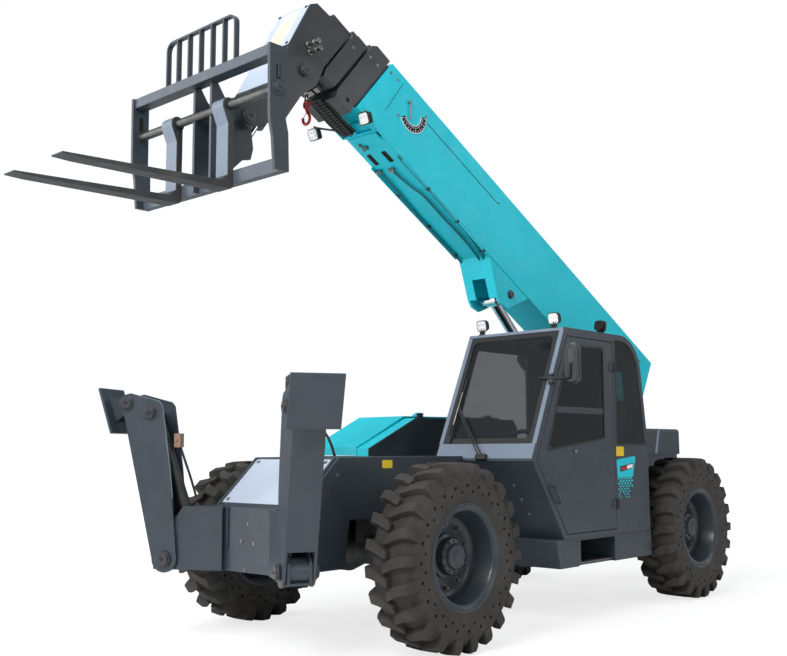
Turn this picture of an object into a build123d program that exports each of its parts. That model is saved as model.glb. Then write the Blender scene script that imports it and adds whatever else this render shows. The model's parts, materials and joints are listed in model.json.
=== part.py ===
from build123d import *
import os
from math import cos, hypot, radians, sin

# Telehandler: four-section boom with a fork carriage, cab on the left, engine on the right,
# steered wheels at both ends and folding outriggers at the front.
# Millimetres and degrees. Machine frame: X forward from the rear axle, Y to the left, Z up from the
# ground. Each sub-part is made in that frame, and save() moves it to the part's own origin.

# ---- driving dimensions ----
WHEELBASE = 3430
TRACK = 2060
RUNNING_FIT = 0.05          # radial play of pins, spindles and shafts in their bores
SEAT_GAP = 0.3              # play between a piece and the seat that carries it
DOOR_GAP = 6                # gap round the door and the hood

TYRE_RADIUS = 632           # over the lugs
TYRE_WIDTH = 374
TREAD_RADIUS = 590          # between the lugs
TYRE_SHOULDER = 37
LUG_PAIRS = 22
LUG_WIDTH = 68
LUG_SLANT = 62
SIDEWALL_RADIUS = 530
RIM_SEAT_RADIUS = 325
RIM_FLANGE_RADIUS = 357
RIM_WALL = 12
RIM_FLANGE_WIDTH = 22
RIM_LIP = 2                 # straight edge of the flange
RIM_HALF_WIDTH = 172
SPINDLE_RADIUS = 60
HUB_RADIUS = 150
HUB_CAP_RADIUS = 90
HUB_SHOULDER = 64           # height of the hub's cone over the dish
HUB_CAP_END = 92
HUB_BORE_END = 40

KINGPIN_Y = 860
KINGPIN_RADIUS = 35
KNUCKLE_HALF_HEIGHT = 130
KNUCKLE_RADIUS = 68
EAR_THICKNESS = 50
AXLE_TUBE_RADIUS = 105
STEERING_ROD_OFFSET = 215   # from the axle's centre line to the steering rod
STEERING_ROD_RADIUS = 22

FRAME_HALF_WIDTH = 450
FRAME_PLATE = 20
FRAME_TOP = 1300
FRAME_BOTTOM = 540
FRAME_REAR = -1060
FRAME_END = 30              # thickness of the rear plate
FRAME_TAIL = 640            # underside behind the rear axle
NOSE_REACH = 810            # frame ahead of the front axle
SLOPE_LENGTH = 360
SADDLE_Z = 850              # underside of the cross members that carry the axles
AXLE_ARCH = 400             # half length of the frame's cut-outs over the axles
AXLE_ARCH_TOP = 870
DECK_START = 1900
SLOPE_END_Z = 965

BOOM_Y = -80
BOOM_WIDTH = 360
BOOM_ANGLE = 29.2
BOOM_DEPTH = 615
BOOM_REAR_DEPTH = 714
BOOM_LENGTH = 4420
BOOM_WALL = 12
BOOM_FOOT = (2978, 3814)    # underside of the base section where its front edge starts
BOOM_PIVOT_INSET = (163.944, 128.715)   # ahead of the base's rear end and above its underside
BOOM_PIN_RADIUS = 60

# ---- sections inside the base: width, underside, top, rear end ahead of the base's, front end, wall ----
SECTION_PAD = 150           # length of the wear pads at a section's mouth and rear end
SECTIONS = {
    "second": (320, 22, 577, 270, 560, 10),
    "third": (280, 44, 553, 370, 740, 10),
    "head": (240, 66, 529, 470, 950, 10),
}

LIFT_EYE = (1383, 2716)
LIFT_BASE = (-665, 806)
LIFT_BARREL_RADIUS = 95
LIFT_ROD_RADIUS = 50
LIFT_EYE_RADIUS = 58

TILT_PIVOT = (4440, 3680)
TILT_UPPER = (3914, 4159)
TILT_EYE = (4400, 3453)
TILT_BARREL_RADIUS = 55
TILT_ROD_RADIUS = 30

CARRIAGE_HALF_WIDTH = 790
CARRIAGE_PLATE = 25
CARRIAGE_TOP = 3955
CARRIAGE_BOTTOM = 3130
FORK_SHAFT = (4690, 3670)
FORK_SHAFT_RADIUS = 30
FORK_LENGTH = 1250
FORK_WIDTH = 130
FORK_THICKNESS = 48
FORK_LEFT_Y = 148
FORK_RIGHT_Y = -438

CAB_INNER_Y = 170
CAB_OUTER_Y = 1120
CAB_WALL = 40
SEAT_Y = 790
CAB_ROOF_Z = 2310
CAB_BOTTOM_Z = 660
CAB_SILL = (2530, 1265)     # lower edge of the windscreen
CAB_BROW_X = 2050           # front end of the roof
DOOR_HINGE = (1335, 1132)
HINGE_RADIUS = 12
HINGE_PIN_RADIUS = 6
GLASS = 6

HOOD_INNER_Y = -462
HOOD_OUTER_Y = -1040
HOOD_REAR_X = 740
HOOD_TOP = 1655             # at its rear
HOOD_BEND = (2205, 1644)    # X and Z where its top turns down
HOOD_NOSE_Z = 1376
HOOD_CORNER = 50
HOOD_WALL = 14
HOOD_HINGE = (-459, 1666)   # Y and Z of its hinge line
HOOD_HINGES_X = (1000, 2000)
HOUSING_FLOOR = 572
HOUSING_WALL = 12
WHEEL_ROOM = 790            # from the front axle back to the engine housing
HOOD_OVERHANG = 150
ENGINE_ENDS = (335, 390)    # room behind and ahead of the engine in its housing

LEG_SPLAY = 28              # each outrigger swings in a plane turned this far forward
LEG_PIVOT_REACH = 229       # ahead of the frame's nose
LEG_PIVOT_YZ = (669, 595)
LEG_PIN_RADIUS = 35
LEG_THICKNESS = 212
LEG_PLATE = 20
LEG_FOOT_PIN = (321, 1100)  # outwards and up from the leg's pivot
LEG_CYLINDER_BASE = (-150, 250)
LEG_CYLINDER_TILT = 19.971  # from upright
LEG_BARREL_LENGTH = 740
LEG_ROD_RADIUS = 22
LEG_ROD_REACH = 85.65       # from the barrel's end to the middle of the rod's eye

# ---- worked out from the driving dimensions ----
FRAME_NOSE = WHEELBASE + NOSE_REACH
SLOPE_START = FRAME_NOSE - SLOPE_LENGTH
HOUSING_FRONT_X = WHEELBASE - WHEEL_ROOM
HOUSING_REAR_X = HOOD_REAR_X + 25
HOOD_FRONT_X = HOUSING_FRONT_X + HOOD_OVERHANG
AXLE_Z = hypot(TYRE_RADIUS, (LUG_WIDTH + LUG_SLANT) / 2)
WHEEL_Y = TRACK / 2
BOOM_LEFT = BOOM_Y + BOOM_WIDTH / 2
BOOM_RIGHT = BOOM_Y - BOOM_WIDTH / 2
BOOM_PLANE = Plane(
    origin=(BOOM_FOOT[0], 0, BOOM_FOOT[1]),
    x_dir=(cos(radians(BOOM_ANGLE)), 0, sin(radians(BOOM_ANGLE))),
    z_dir=(0, -1, 0),
)
LEG_OUT = (sin(radians(LEG_SPLAY)), cos(radians(LEG_SPLAY)), 0)
LEG_AXIS = (cos(radians(LEG_SPLAY)), -sin(radians(LEG_SPLAY)), 0)
LEG_PLANE = Plane(origin=(FRAME_NOSE + LEG_PIVOT_REACH, *LEG_PIVOT_YZ), x_dir=LEG_OUT, z_dir=LEG_AXIS)
LEG_CYLINDER_WAY = (sin(radians(LEG_CYLINDER_TILT)), cos(radians(LEG_CYLINDER_TILT)))
LEG_CYLINDER_REACH = LEG_BARREL_LENGTH + LEG_ROD_REACH
FORK_TIP_X = TILT_PIVOT[0] + 213 + FORK_LENGTH
MIRROR_Y = 1290
ORIGIN = (
    (FORK_TIP_X + BOOM_FOOT[0] - BOOM_LENGTH * cos(radians(BOOM_ANGLE))
     - BOOM_REAR_DEPTH * sin(radians(BOOM_ANGLE))) / 2,
    (MIRROR_Y + 85 - WHEEL_Y - TYRE_WIDTH / 2) / 2,
    0,
)


# ---- helpers ----
def slab(points, low, high, plane=Plane.XZ):
    """Prism of a closed outline, between two places along +Y for planes that face -Y."""
    outline = make_face(Polyline(*points, close=True))
    return extrude(plane.offset(-low) * outline, amount=low - high)


def level(points, low, high):
    """Prism of an outline in plan between two heights."""
    return extrude(Pos(0, 0, low) * make_face(Polyline(*points, close=True)), amount=high - low)


def block(x0, x1, y0, y1, z0, z1):
    return Pos((x0 + x1) / 2, (y0 + y1) / 2, (z0 + z1) / 2) * Box(x1 - x0, y1 - y0, z1 - z0)


def bar(start, end, radius):
    """Round bar between two points."""
    path = Vector(*end) - Vector(*start)
    return extrude(Plane(origin=start, z_dir=path) * Circle(radius), amount=path.length)


def cross_bar(x, z, y0, y1, radius):
    return bar((x, y0, z), (x, y1, z), radius)


def fused(*shapes):
    whole = shapes[0]
    for shape in shapes[1:]:
        whole = whole + shape
    return whole


def along_boom(s, h):
    """Machine X and Z of a point given along the boom and square to it."""
    return (
        BOOM_FOOT[0] + s * cos(radians(BOOM_ANGLE)) - h * sin(radians(BOOM_ANGLE)),
        BOOM_FOOT[1] + s * sin(radians(BOOM_ANGLE)) + h * cos(radians(BOOM_ANGLE)),
    )


BOOM_PIVOT = along_boom(BOOM_PIVOT_INSET[0] - BOOM_LENGTH, BOOM_PIVOT_INSET[1])


def right_of(shape):
    """The mirror image on the other side of the machine."""
    return mirror(shape, about=Plane.XZ)


def both_sides(shape):
    return fused(shape, right_of(shape))


# ---- wheels, knuckles and axles ----
def wheel_profile(points):
    """Solid of revolution about the wheel's own Y axis from radius and distance outwards."""
    return revolve(make_face(Polyline(*points, close=True)), axis=Axis.Y)


def wheel_prism(flat_radius, low, high, sides):
    """Many-sided prism round the wheel's own Y axis."""
    across = flat_radius / cos(radians(180 / sides))
    return extrude(Plane.XZ.offset(-low) * RegularPolygon(across, sides), amount=low - high)


def make_rim():
    """Deep-dished rim: seat and two flanges with two flats for each pair of lugs, and a coned hub."""
    seat, flange, half = RIM_SEAT_RADIUS, RIM_FLANGE_RADIUS, RIM_HALF_WIDTH
    well, sides = seat - RIM_WALL, 2 * LUG_PAIRS
    edge = wheel_prism(flange, half - RIM_FLANGE_WIDTH, half, sides)
    edge = chamfer(edge.edges().group_by(Axis.Y)[0], RIM_FLANGE_WIDTH - RIM_LIP, flange - seat)
    rim = fused(wheel_prism(seat, -half, half, sides), edge, right_of(edge))
    rim = rim - wheel_prism(well, 15, half + 5, sides) - wheel_prism(well, -half - 5, -5, sides)
    hub = wheel_prism(HUB_RADIUS, -95, HUB_SHOULDER, LUG_PAIRS)
    hub = chamfer(hub.edges().group_by(Axis.Y)[-1], HUB_SHOULDER, HUB_RADIUS - HUB_CAP_RADIUS)
    hub = hub + wheel_prism(HUB_CAP_RADIUS, HUB_SHOULDER - 5, HUB_CAP_END, LUG_PAIRS)
    return rim + hub - cross_bar(0, 0, -100, HUB_BORE_END, SPINDLE_RADIUS + RUNNING_FIT)


def make_tyre():
    """Solid tyre: carcass with one flat for each pair of lugs, and two staggered rows of slanting lugs."""
    half = TYRE_WIDTH / 2
    shoulder = half - TYRE_SHOULDER
    carcass = wheel_prism(TREAD_RADIUS, -half, half, LUG_PAIRS)
    ends = carcass.edges().group_by(Axis.Y)
    tyre = chamfer(ends[0] + ends[-1], TYRE_SHOULDER, TREAD_RADIUS - SIDEWALL_RADIUS)
    root = TREAD_RADIUS - 30
    side = make_face(Polyline(
        (-10, root), (-10, TYRE_RADIUS), (shoulder, TYRE_RADIUS), (half - 6, SIDEWALL_RADIUS + 4),
        (shoulder, root), close=True))
    side = extrude(Plane.YZ.offset(-150) * side, amount=300)
    w = LUG_WIDTH / 2
    lean = LUG_SLANT / 2
    foot = make_face(Polyline(
        (w + lean, half), (lean - w, half), (-w - lean, -10), (w - lean, -10), close=True))
    lug = side & extrude(Pos(0, 0, SIDEWALL_RADIUS - 60) * foot, amount=200)
    pitch = 360 / LUG_PAIRS
    for i in range(LUG_PAIRS):
        tyre = tyre + Rot(0, i * pitch, 0) * lug + Rot(0, (i + 0.5) * pitch, 0) * right_of(lug)
    # ---- bore on the rim's seat, widening at both ends with the slope of the rim's flanges ----
    bore, sides = RIM_SEAT_RADIUS + SEAT_GAP, 2 * LUG_PAIRS
    start = RIM_HALF_WIDTH - RIM_FLANGE_WIDTH - SEAT_GAP
    deep = half + 1 - start
    rise = deep * (RIM_FLANGE_RADIUS - RIM_SEAT_RADIUS) / (RIM_FLANGE_WIDTH - RIM_LIP)
    mouth = wheel_prism(bore + rise, start, half + 2, sides)
    mouth = chamfer(mouth.edges().group_by(Axis.Y)[0], deep, rise)
    return tyre - wheel_prism(bore, -half - 5, half + 5, sides) - mouth - right_of(mouth)


def level_prism(x, y, z, radius, height, sides=12):
    """Upright many-sided prism round a middle point."""
    return Pos(x, y, z) * extrude(RegularPolygon(radius, sides), amount=height / 2, both=True)


def make_knuckle(x, side):
    """Left knuckle of the axle at x, its steering arm on the given side along X."""
    body = level_prism(x, KINGPIN_Y, AXLE_Z, KNUCKLE_RADIUS, 2 * KNUCKLE_HALF_HEIGHT)
    pin_reach = KNUCKLE_HALF_HEIGHT + 1 + EAR_THICKNESS
    pin = Pos(x, KINGPIN_Y, AXLE_Z) * Cylinder(KINGPIN_RADIUS, 2 * pin_reach)
    spindle = cross_bar(x, AXLE_Z, KINGPIN_Y, WHEEL_Y + HUB_BORE_END - 2, SPINDLE_RADIUS)
    flange = Pos(x, 0, AXLE_Z) * wheel_prism(KNUCKLE_HALF_HEIGHT - 8, KINGPIN_Y + 35, KINGPIN_Y + 68, 22)
    eye_x, eye_y = x + side * STEERING_ROD_OFFSET, KINGPIN_Y - 20
    arm_top = AXLE_Z - STEERING_ROD_RADIUS - 10
    arm = level([(x, KINGPIN_Y + 26), (x, KINGPIN_Y - 30), (eye_x, eye_y - 26), (eye_x, eye_y + 26)],
                arm_top - 26, arm_top)
    eye = level_prism(eye_x, eye_y, arm_top - 13, 34, 26)
    return fused(body, pin, spindle, flange, arm, eye)


def make_axle(x, side):
    """Drive axle: tube, differential, yokes for the kingpins, saddle pads and steering cylinder."""
    yoke_in, yoke_out = KINGPIN_Y - 135, KINGPIN_Y - 105
    ear_low, ear_high = KNUCKLE_HALF_HEIGHT + 1, KNUCKLE_HALF_HEIGHT + 1 + EAR_THICKNESS
    tube = cross_bar(x, AXLE_Z, -yoke_out, yoke_out, AXLE_TUBE_RADIUS)
    casing = revolve(make_face(Polyline(
        (0, -290), (AXLE_TUBE_RADIUS, -290), (165, -150), (165, 110), (AXLE_TUBE_RADIUS, 250), (0, 250),
        close=True)), axis=Axis.Y)
    axle = fused(tube, Pos(x, 0, AXLE_Z) * casing)
    nose = slab([(0, 62), (side * 276, -12), (side * 244, -132), (0, -62)], BOOM_Y - 55, BOOM_Y + 55)
    axle = axle + Pos(x, 0, AXLE_Z) * nose
    for y in (-KINGPIN_Y, KINGPIN_Y):
        out = 1 if y > 0 else -1
        back = sorted((out * yoke_in, out * yoke_out))
        axle = axle + block(x - 50, x + 50, *back, AXLE_Z - ear_high, AXLE_Z + ear_high)
        for z in (AXLE_Z - ear_high, AXLE_Z + ear_low):
            reach = sorted((out * yoke_in, y))
            axle = axle + block(x - 50, x + 50, *reach, z, z + EAR_THICKNESS)
            axle = axle + level_prism(x, y, z + EAR_THICKNESS / 2, 60, EAR_THICKNESS)
        axle = axle - Pos(x, y, AXLE_Z) * Cylinder(KINGPIN_RADIUS + RUNNING_FIT, 2 * ear_high + 4)
        pad = sorted((out * 250, out * 340))
        axle = axle + block(x - 90, x + 90, *pad, AXLE_Z, SADDLE_Z - SEAT_GAP)
    rod_x = x + side * STEERING_ROD_OFFSET
    axle = axle + cross_bar(rod_x, AXLE_Z, -250, 250, 42)
    axle = axle + block(min(x, rod_x), max(x, rod_x), -60, 60, AXLE_Z - 38, AXLE_Z + 38)
    return axle - cross_bar(rod_x, AXLE_Z, -260, 260, STEERING_ROD_RADIUS + RUNNING_FIT)


def make_steering_rod(x, side):
    rod_x, end = x + side * STEERING_ROD_OFFSET, KINGPIN_Y - 20
    rod = cross_bar(rod_x, AXLE_Z, -end, end, STEERING_ROD_RADIUS)
    for y in (-end, end):
        rod = rod + Pos(rod_x, y, AXLE_Z) * Cylinder(30, 2 * STEERING_ROD_RADIUS + 8)
    return rod


# ---- frame ----
def frame_side():
    """Left side plate with arches over both axles."""
    arch = AXLE_ARCH
    outline = [
        (FRAME_REAR, FRAME_TAIL), (FRAME_REAR, FRAME_TOP), (SLOPE_START, FRAME_TOP),
        (FRAME_NOSE, SLOPE_END_Z), (FRAME_NOSE, FRAME_BOTTOM), (WHEELBASE + arch, FRAME_BOTTOM),
        (WHEELBASE + arch - 50, AXLE_ARCH_TOP), (WHEELBASE - arch + 50, AXLE_ARCH_TOP),
        (WHEELBASE - arch, FRAME_BOTTOM), (arch, FRAME_BOTTOM), (arch - 50, AXLE_ARCH_TOP),
        (50 - arch, AXLE_ARCH_TOP), (-arch, FRAME_TAIL),
    ]
    return slab(outline, FRAME_HALF_WIDTH - FRAME_PLATE, FRAME_HALF_WIDTH)


def make_frame():
    """Side plates, the plates across them, and the lift cylinder's lugs with their pin."""
    inner = FRAME_HALF_WIDTH - FRAME_PLATE
    frame = both_sides(frame_side())
    low_x, low_z = LIFT_BASE
    # ---- plates across the frame: x0, x1, z0, z1 ----
    for x0, x1, z0, z1 in (
        (FRAME_REAR, FRAME_REAR + FRAME_END, FRAME_TAIL, FRAME_TOP),
        (FRAME_REAR, -AXLE_ARCH, FRAME_TAIL, FRAME_TAIL + FRAME_PLATE),
        (AXLE_ARCH, WHEELBASE - AXLE_ARCH, FRAME_BOTTOM, FRAME_BOTTOM + 15),
        (WHEELBASE + AXLE_ARCH, FRAME_NOSE, FRAME_BOTTOM, FRAME_BOTTOM + 15),
        (-110, 110, SADDLE_Z, AXLE_ARCH_TOP),
        (WHEELBASE - 110, WHEELBASE + 110, SADDLE_Z, AXLE_ARCH_TOP),
        (DECK_START, SLOPE_START, FRAME_TOP - 12, FRAME_TOP),
        (DECK_START, DECK_START + 15, 900, FRAME_TOP),
    ):
        frame = frame + block(x0, x1, -inner, inner, z0, z1)
    frame = frame + slab([(SLOPE_START, FRAME_TOP), (SLOPE_START, FRAME_TOP - 12),
                          (FRAME_NOSE, SLOPE_END_Z - 12), (FRAME_NOSE, SLOPE_END_Z)], -inner, inner)
    floor = FRAME_TAIL + FRAME_PLATE
    for y in (BOOM_Y - 135, BOOM_Y + 105):
        lug = [(FRAME_REAR + FRAME_END, floor), (FRAME_REAR + FRAME_END, low_z + 54),
               (low_x - 60, low_z + 90), (low_x + 70, low_z + 60), (-AXLE_ARCH - 20, floor)]
        frame = frame + slab(lug, y, y + 30)
    return frame + cross_bar(low_x, low_z, BOOM_Y - 140, BOOM_Y + 140, 45)


def make_uprights():
    """Two plates with bosses that carry the boom's pivot, standing on the frame's rear floor."""
    x, z = BOOM_PIVOT
    rear, floor = FRAME_REAR + FRAME_END + SEAT_GAP, FRAME_TAIL + FRAME_PLATE + SEAT_GAP
    outline = [(rear, floor), (rear, FRAME_TOP), (x - 110, z), (x + 110, z), (x + 560, FRAME_TOP),
               (-AXLE_ARCH, floor + 130), (-AXLE_ARCH - 20, floor)]
    thick = FRAME_PLATE + 15
    plate = slab(outline, 0, thick) + cross_bar(x, z, 0, thick, 110)
    plate = plate - cross_bar(x, z, -5, thick + 5, BOOM_PIN_RADIUS + RUNNING_FIT)
    left = Pos(0, BOOM_LEFT + 12, 0) * plate
    return left + Pos(0, BOOM_RIGHT - 12 - thick, 0) * plate


def make_boom_pin():
    reach = BOOM_WIDTH / 2 + 12 + FRAME_PLATE + 15
    return cross_bar(*BOOM_PIVOT, BOOM_Y - reach, BOOM_Y + reach, BOOM_PIN_RADIUS)


def beam_end():
    """Left splayed end of the front beam: two plates and a pivot tube between the outrigger's plates."""
    outer = LEG_THICKNESS / 2 - LEG_PLATE - 6
    outline = [(-430, -75), (-430, 365), (-130, 365), (95, 60), (95, -75)]
    arm = slab(outline, -outer, outer, LEG_PLANE)
    arm = arm - slab([(-400, -60), (-400, 400), (200, 400), (200, -60)], LEG_PLATE - outer,
                     outer - LEG_PLATE, LEG_PLANE)
    base = slab_circle(LEG_PLANE, *LEG_CYLINDER_BASE, LEG_ROD_RADIUS, outer)
    return fused(arm, slab_circle(LEG_PLANE, 0, 0, 88, outer), base)


def slab_circle(plane, u, v, radius, half):
    """Disc of a plane, half its thickness on each side."""
    return extrude(plane.offset(-half) * Pos(u, v) * Circle(radius), amount=2 * half)


def make_front_beam():
    nose, low, high = FRAME_NOSE, FRAME_BOTTOM - 20, SLOPE_END_Z - 5
    beam = block(nose + SEAT_GAP, nose + 60, -330, 330, low, high)
    ends = both_sides(beam_end())
    beam = beam + (ends - block(nose - 600, nose + SEAT_GAP, -900, 900, 0, 2000))
    pin_half = LEG_THICKNESS / 2 + 12
    beam = beam + both_sides(slab_circle(LEG_PLANE, 0, 0, LEG_PIN_RADIUS, pin_half))
    return beam


# ---- outriggers ----
def make_leg():
    """Left outrigger: two plates and the cover along their outer edge."""
    half = LEG_THICKNESS / 2
    outline = [(-95, 0), (-35, 626), (37, 1081), (62, 1112), (290, 1172), (345, 1160),
               (LEG_FOOT_PIN[0] + 72, LEG_FOOT_PIN[1]), (335, 990), (95, 0)]
    solid = slab(outline, -half, half, LEG_PLANE) + slab_circle(LEG_PLANE, 0, 0, 95, half)
    inside = slab([(-200, -200), (-200, 1300), (300, 1300), (300, 985), (255, 800), (105, 130), (200, 130),
                   (200, -200)], -half + LEG_PLATE, half - LEG_PLATE, LEG_PLANE)
    clear = slab([(250, 975), (250, 1300), (600, 1300), (600, 975)], -half + LEG_PLATE,
                 half - LEG_PLATE, LEG_PLANE)
    leg = solid - inside - clear
    leg = leg - slab_circle(LEG_PLANE, 0, 0, LEG_PIN_RADIUS + RUNNING_FIT, half + 2)
    return leg + slab_circle(LEG_PLANE, *LEG_FOOT_PIN, 28, half)


def make_foot():
    """Left foot: ground plate with two ears on the outrigger's pin, folded against its outer side."""
    u, v = LEG_FOOT_PIN
    half = LEG_THICKNESS / 2 - LEG_PLATE - 6
    plate = [(395, 885), (412, 879), (519, 1206), (502, 1212)]
    pad = slab(plate, -170, 170, LEG_PLANE)
    ear = slab([(u - 30, v - 20), (420, 970), (480, 1140), (u + 10, v + 40)], -half, half, LEG_PLANE)
    ear = ear + slab_circle(LEG_PLANE, u, v, 46, half)
    ear = ear - slab([(0, 0), (0, 2000), (2000, 2000), (2000, 0)], -half + 25, half - 25, LEG_PLANE)
    foot = pad + ear
    return foot - slab_circle(LEG_PLANE, u, v, 28 + RUNNING_FIT, half + 2)


def make_leg_barrel():
    barrel = bar(leg_cylinder_point(0), leg_cylinder_point(LEG_BARREL_LENGTH), 40)
    barrel = barrel + slab_circle(LEG_PLANE, *LEG_CYLINDER_BASE, 46, 43)
    barrel = barrel - slab_circle(LEG_PLANE, *LEG_CYLINDER_BASE, LEG_ROD_RADIUS + RUNNING_FIT, 60)
    return barrel - bar(leg_cylinder_point(85), leg_cylinder_point(LEG_BARREL_LENGTH + 10),
                        LEG_ROD_RADIUS + RUNNING_FIT)


def leg_cylinder_place(distance):
    """Place in the outrigger's plane at a distance along its cylinder."""
    return tuple(base + way * distance for base, way in zip(LEG_CYLINDER_BASE, LEG_CYLINDER_WAY))


def leg_cylinder_point(distance):
    return tuple(LEG_PLANE.from_local_coords(Vector(*leg_cylinder_place(distance), 0)))


def make_leg_rod():
    rod = bar(leg_cylinder_point(110), leg_cylinder_point(LEG_CYLINDER_REACH), LEG_ROD_RADIUS)
    eye = leg_cylinder_place(LEG_CYLINDER_REACH)
    return fused(rod, slab_circle(LEG_PLANE, *eye, 38, 42), slab_circle(LEG_PLANE, *eye, 24, 78))


# ---- boom ----
def boom_block(s0, s1, width, h0, h1):
    """Box along the boom, centred on its middle plane."""
    return slab([(s0, h0), (s1, h0), (s1, h1), (s0, h1)], BOOM_Y - width / 2, BOOM_Y + width / 2,
                BOOM_PLANE)


def make_boom_base():
    """Teal base section: tapered box, open at the front, with the lift cylinder's lugs underneath."""
    width, depth, rear = BOOM_WIDTH, BOOM_DEPTH, -BOOM_LENGTH
    outline = [(430, 0), (300, depth), (rear, BOOM_REAR_DEPTH), (rear, 90), (rear + 95, 0)]
    base = slab(outline, BOOM_RIGHT, BOOM_LEFT, BOOM_PLANE)
    next_width, low, high = SECTIONS["second"][:3]
    inner = width - 2 * BOOM_WALL
    base = base - boom_block(rear + 235, 60, inner, BOOM_WALL, depth - BOOM_WALL)
    base = base - boom_block(50, 500, next_width + 2 * SEAT_GAP, low - SEAT_GAP, high + SEAT_GAP)
    base = base - slab([(rear - 10, depth + 5), (rear + 1400, depth + 5), (rear - 10, BOOM_REAR_DEPTH - 14)],
                       BOOM_RIGHT + BOOM_WALL, BOOM_LEFT - BOOM_WALL, BOOM_PLANE)
    lug = [(-1500, 2), (-1790, -262), (-1850, -290), (-1960, -270), (-2190, 2)]
    for side in (-1, 1):
        y0, y1 = sorted((BOOM_Y + side * 148, BOOM_Y + side * 172))
        base = base + slab(lug, y0, y1, BOOM_PLANE)
    front = slab([(-1500, 2), (-1520, 2), (-1808, -256), (-1790, -262)], BOOM_Y - 150, BOOM_Y + 150,
                 BOOM_PLANE)
    base = base + (front - boom_block(-2000, -1655, 150, -400, -60))
    bore = cross_bar(*BOOM_PIVOT, BOOM_RIGHT - 5, BOOM_LEFT + 5, BOOM_PIN_RADIUS + RUNNING_FIT)
    return base - bore


def make_section(name):
    """One sliding section: box tube with wear pads round its rear end and inside its mouth."""
    width, low, high, inset, front, wall = SECTIONS[name]
    rear = inset - BOOM_LENGTH
    names = list(SECTIONS)
    place = names.index(name)
    if place == 0:
        host = (BOOM_WIDTH - 2 * BOOM_WALL, BOOM_WALL, BOOM_DEPTH - BOOM_WALL)
    else:
        w, l, h, _, _, t = SECTIONS[names[place - 1]]
        host = (w - 2 * t, l + t, h - t)
    tube = boom_block(rear, front, width, low, high)
    tube = tube + boom_block(rear, rear + SECTION_PAD, host[0] - 2 * SEAT_GAP, host[1] + SEAT_GAP,
                             host[2] - SEAT_GAP)
    cavity = boom_block(rear - 10, front + 10, width - 2 * wall, low + wall, high - wall)
    if place + 1 == len(names):
        return tube, cavity
    w, l, h = SECTIONS[names[place + 1]][:3]
    mouth = boom_block(front - SECTION_PAD - 1, front + 150, w + 2 * SEAT_GAP, l - SEAT_GAP, h + SEAT_GAP)
    cavity = boom_block(rear - 10, front - SECTION_PAD, width - 2 * wall, low + wall, high - wall) + mouth
    return tube, cavity


# ---- collars round the mouths of the sliding sections, as outlines along and across the boom ----
COLLARS = {
    "second": [(328, 612), (500, 612), (545, 572), (655, -20), (640, -92), (462, -92), (455, 0)],
    "third": [(580, 520), (700, 520), (745, 485), (828, 20), (815, -35), (690, -35)],
}


def make_collared(name):
    tube, cavity = make_section(name)
    collar = slab(COLLARS[name], BOOM_RIGHT, BOOM_LEFT, BOOM_PLANE)
    return tube + collar - cavity


HEAD_OUTLINE = [(776, 440), (970, 426), (1150, 408), (1196, 350), (1191, -161), (1200, -520),
                (1290, -640), (1295, -820), (1260, -890), (1165, -905), (939, -590), (911, -334),
                (838, -169), (849, 21)]


def make_boom_head():
    """Innermost section with the head: two side plates and a front plate round the tilt cylinder."""
    tube, cavity = make_section("head")
    left, right = BOOM_LEFT, BOOM_RIGHT
    plate = 20
    head = slab(HEAD_OUTLINE, left - plate, left, BOOM_PLANE) + slab(
        HEAD_OUTLINE, right, right + plate, BOOM_PLANE)
    front = [(1150, 408), (1196, 350), (1191, -161), (1200, -520), (1178, -520), (1169, -161),
             (1172, 342), (1140, 385), (900, 408), (900, 431), (970, 426)]
    head = head + slab(front, right, left, BOOM_PLANE)
    web = boom_block(860, 880, BOOM_WIDTH, 66, 425)
    head = head + web + (tube - cavity)
    head = head + cross_bar(*TILT_PIVOT, right - 14, left + 14, 40)
    return head + cross_bar(*TILT_UPPER, right - 12, left + 12, TILT_ROD_RADIUS)


# ---- cylinders: base and eye in the machine's XZ plane, along BOOM_Y ----
def toward(start, end, distance):
    reach = hypot(end[0] - start[0], end[1] - start[1])
    return (start[0] + (end[0] - start[0]) * distance / reach,
            start[1] + (end[1] - start[1]) * distance / reach)


def make_barrel(base, eye, radius, rod_radius, length, pin_radius, eye_half, bottom=120):
    near, far = toward(base, eye, 0), toward(base, eye, length)
    barrel = bar((near[0], BOOM_Y, near[1]), (far[0], BOOM_Y, far[1]), radius)
    gland_start = toward(base, eye, length - 90)
    barrel = barrel + bar((gland_start[0], BOOM_Y, gland_start[1]), (far[0], BOOM_Y, far[1]), radius + 8)
    cut = toward(base, eye, -radius - 20)
    blank = toward(base, eye, pin_radius + 30)
    eye_ring = cross_bar(*base, BOOM_Y - eye_half, BOOM_Y + eye_half, pin_radius + 28)
    barrel = barrel - bar((cut[0], BOOM_Y, cut[1]), (blank[0], BOOM_Y, blank[1]), radius + 5)
    neck_end = toward(base, eye, pin_radius + 40)
    neck = bar((base[0], BOOM_Y, base[1]), (neck_end[0], BOOM_Y, neck_end[1]), min(radius, eye_half))
    barrel = barrel + neck + eye_ring
    barrel = barrel - cross_bar(*base, BOOM_Y - eye_half - 5, BOOM_Y + eye_half + 5,
                                pin_radius + RUNNING_FIT)
    inner, mouth = toward(base, eye, bottom), toward(base, eye, length + 10)
    return barrel - bar((inner[0], BOOM_Y, inner[1]), (mouth[0], BOOM_Y, mouth[1]),
                        rod_radius + RUNNING_FIT)


def make_rod(base, eye, rod_radius, start, eye_radius, eye_half, pin_radius, pin_half):
    inner = toward(base, eye, start)
    rod = bar((inner[0], BOOM_Y, inner[1]), (eye[0], BOOM_Y, eye[1]), rod_radius)
    rod = rod + cross_bar(*eye, BOOM_Y - eye_half, BOOM_Y + eye_half, eye_radius)
    return rod + cross_bar(*eye, BOOM_Y - pin_half, BOOM_Y + pin_half, pin_radius)


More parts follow.
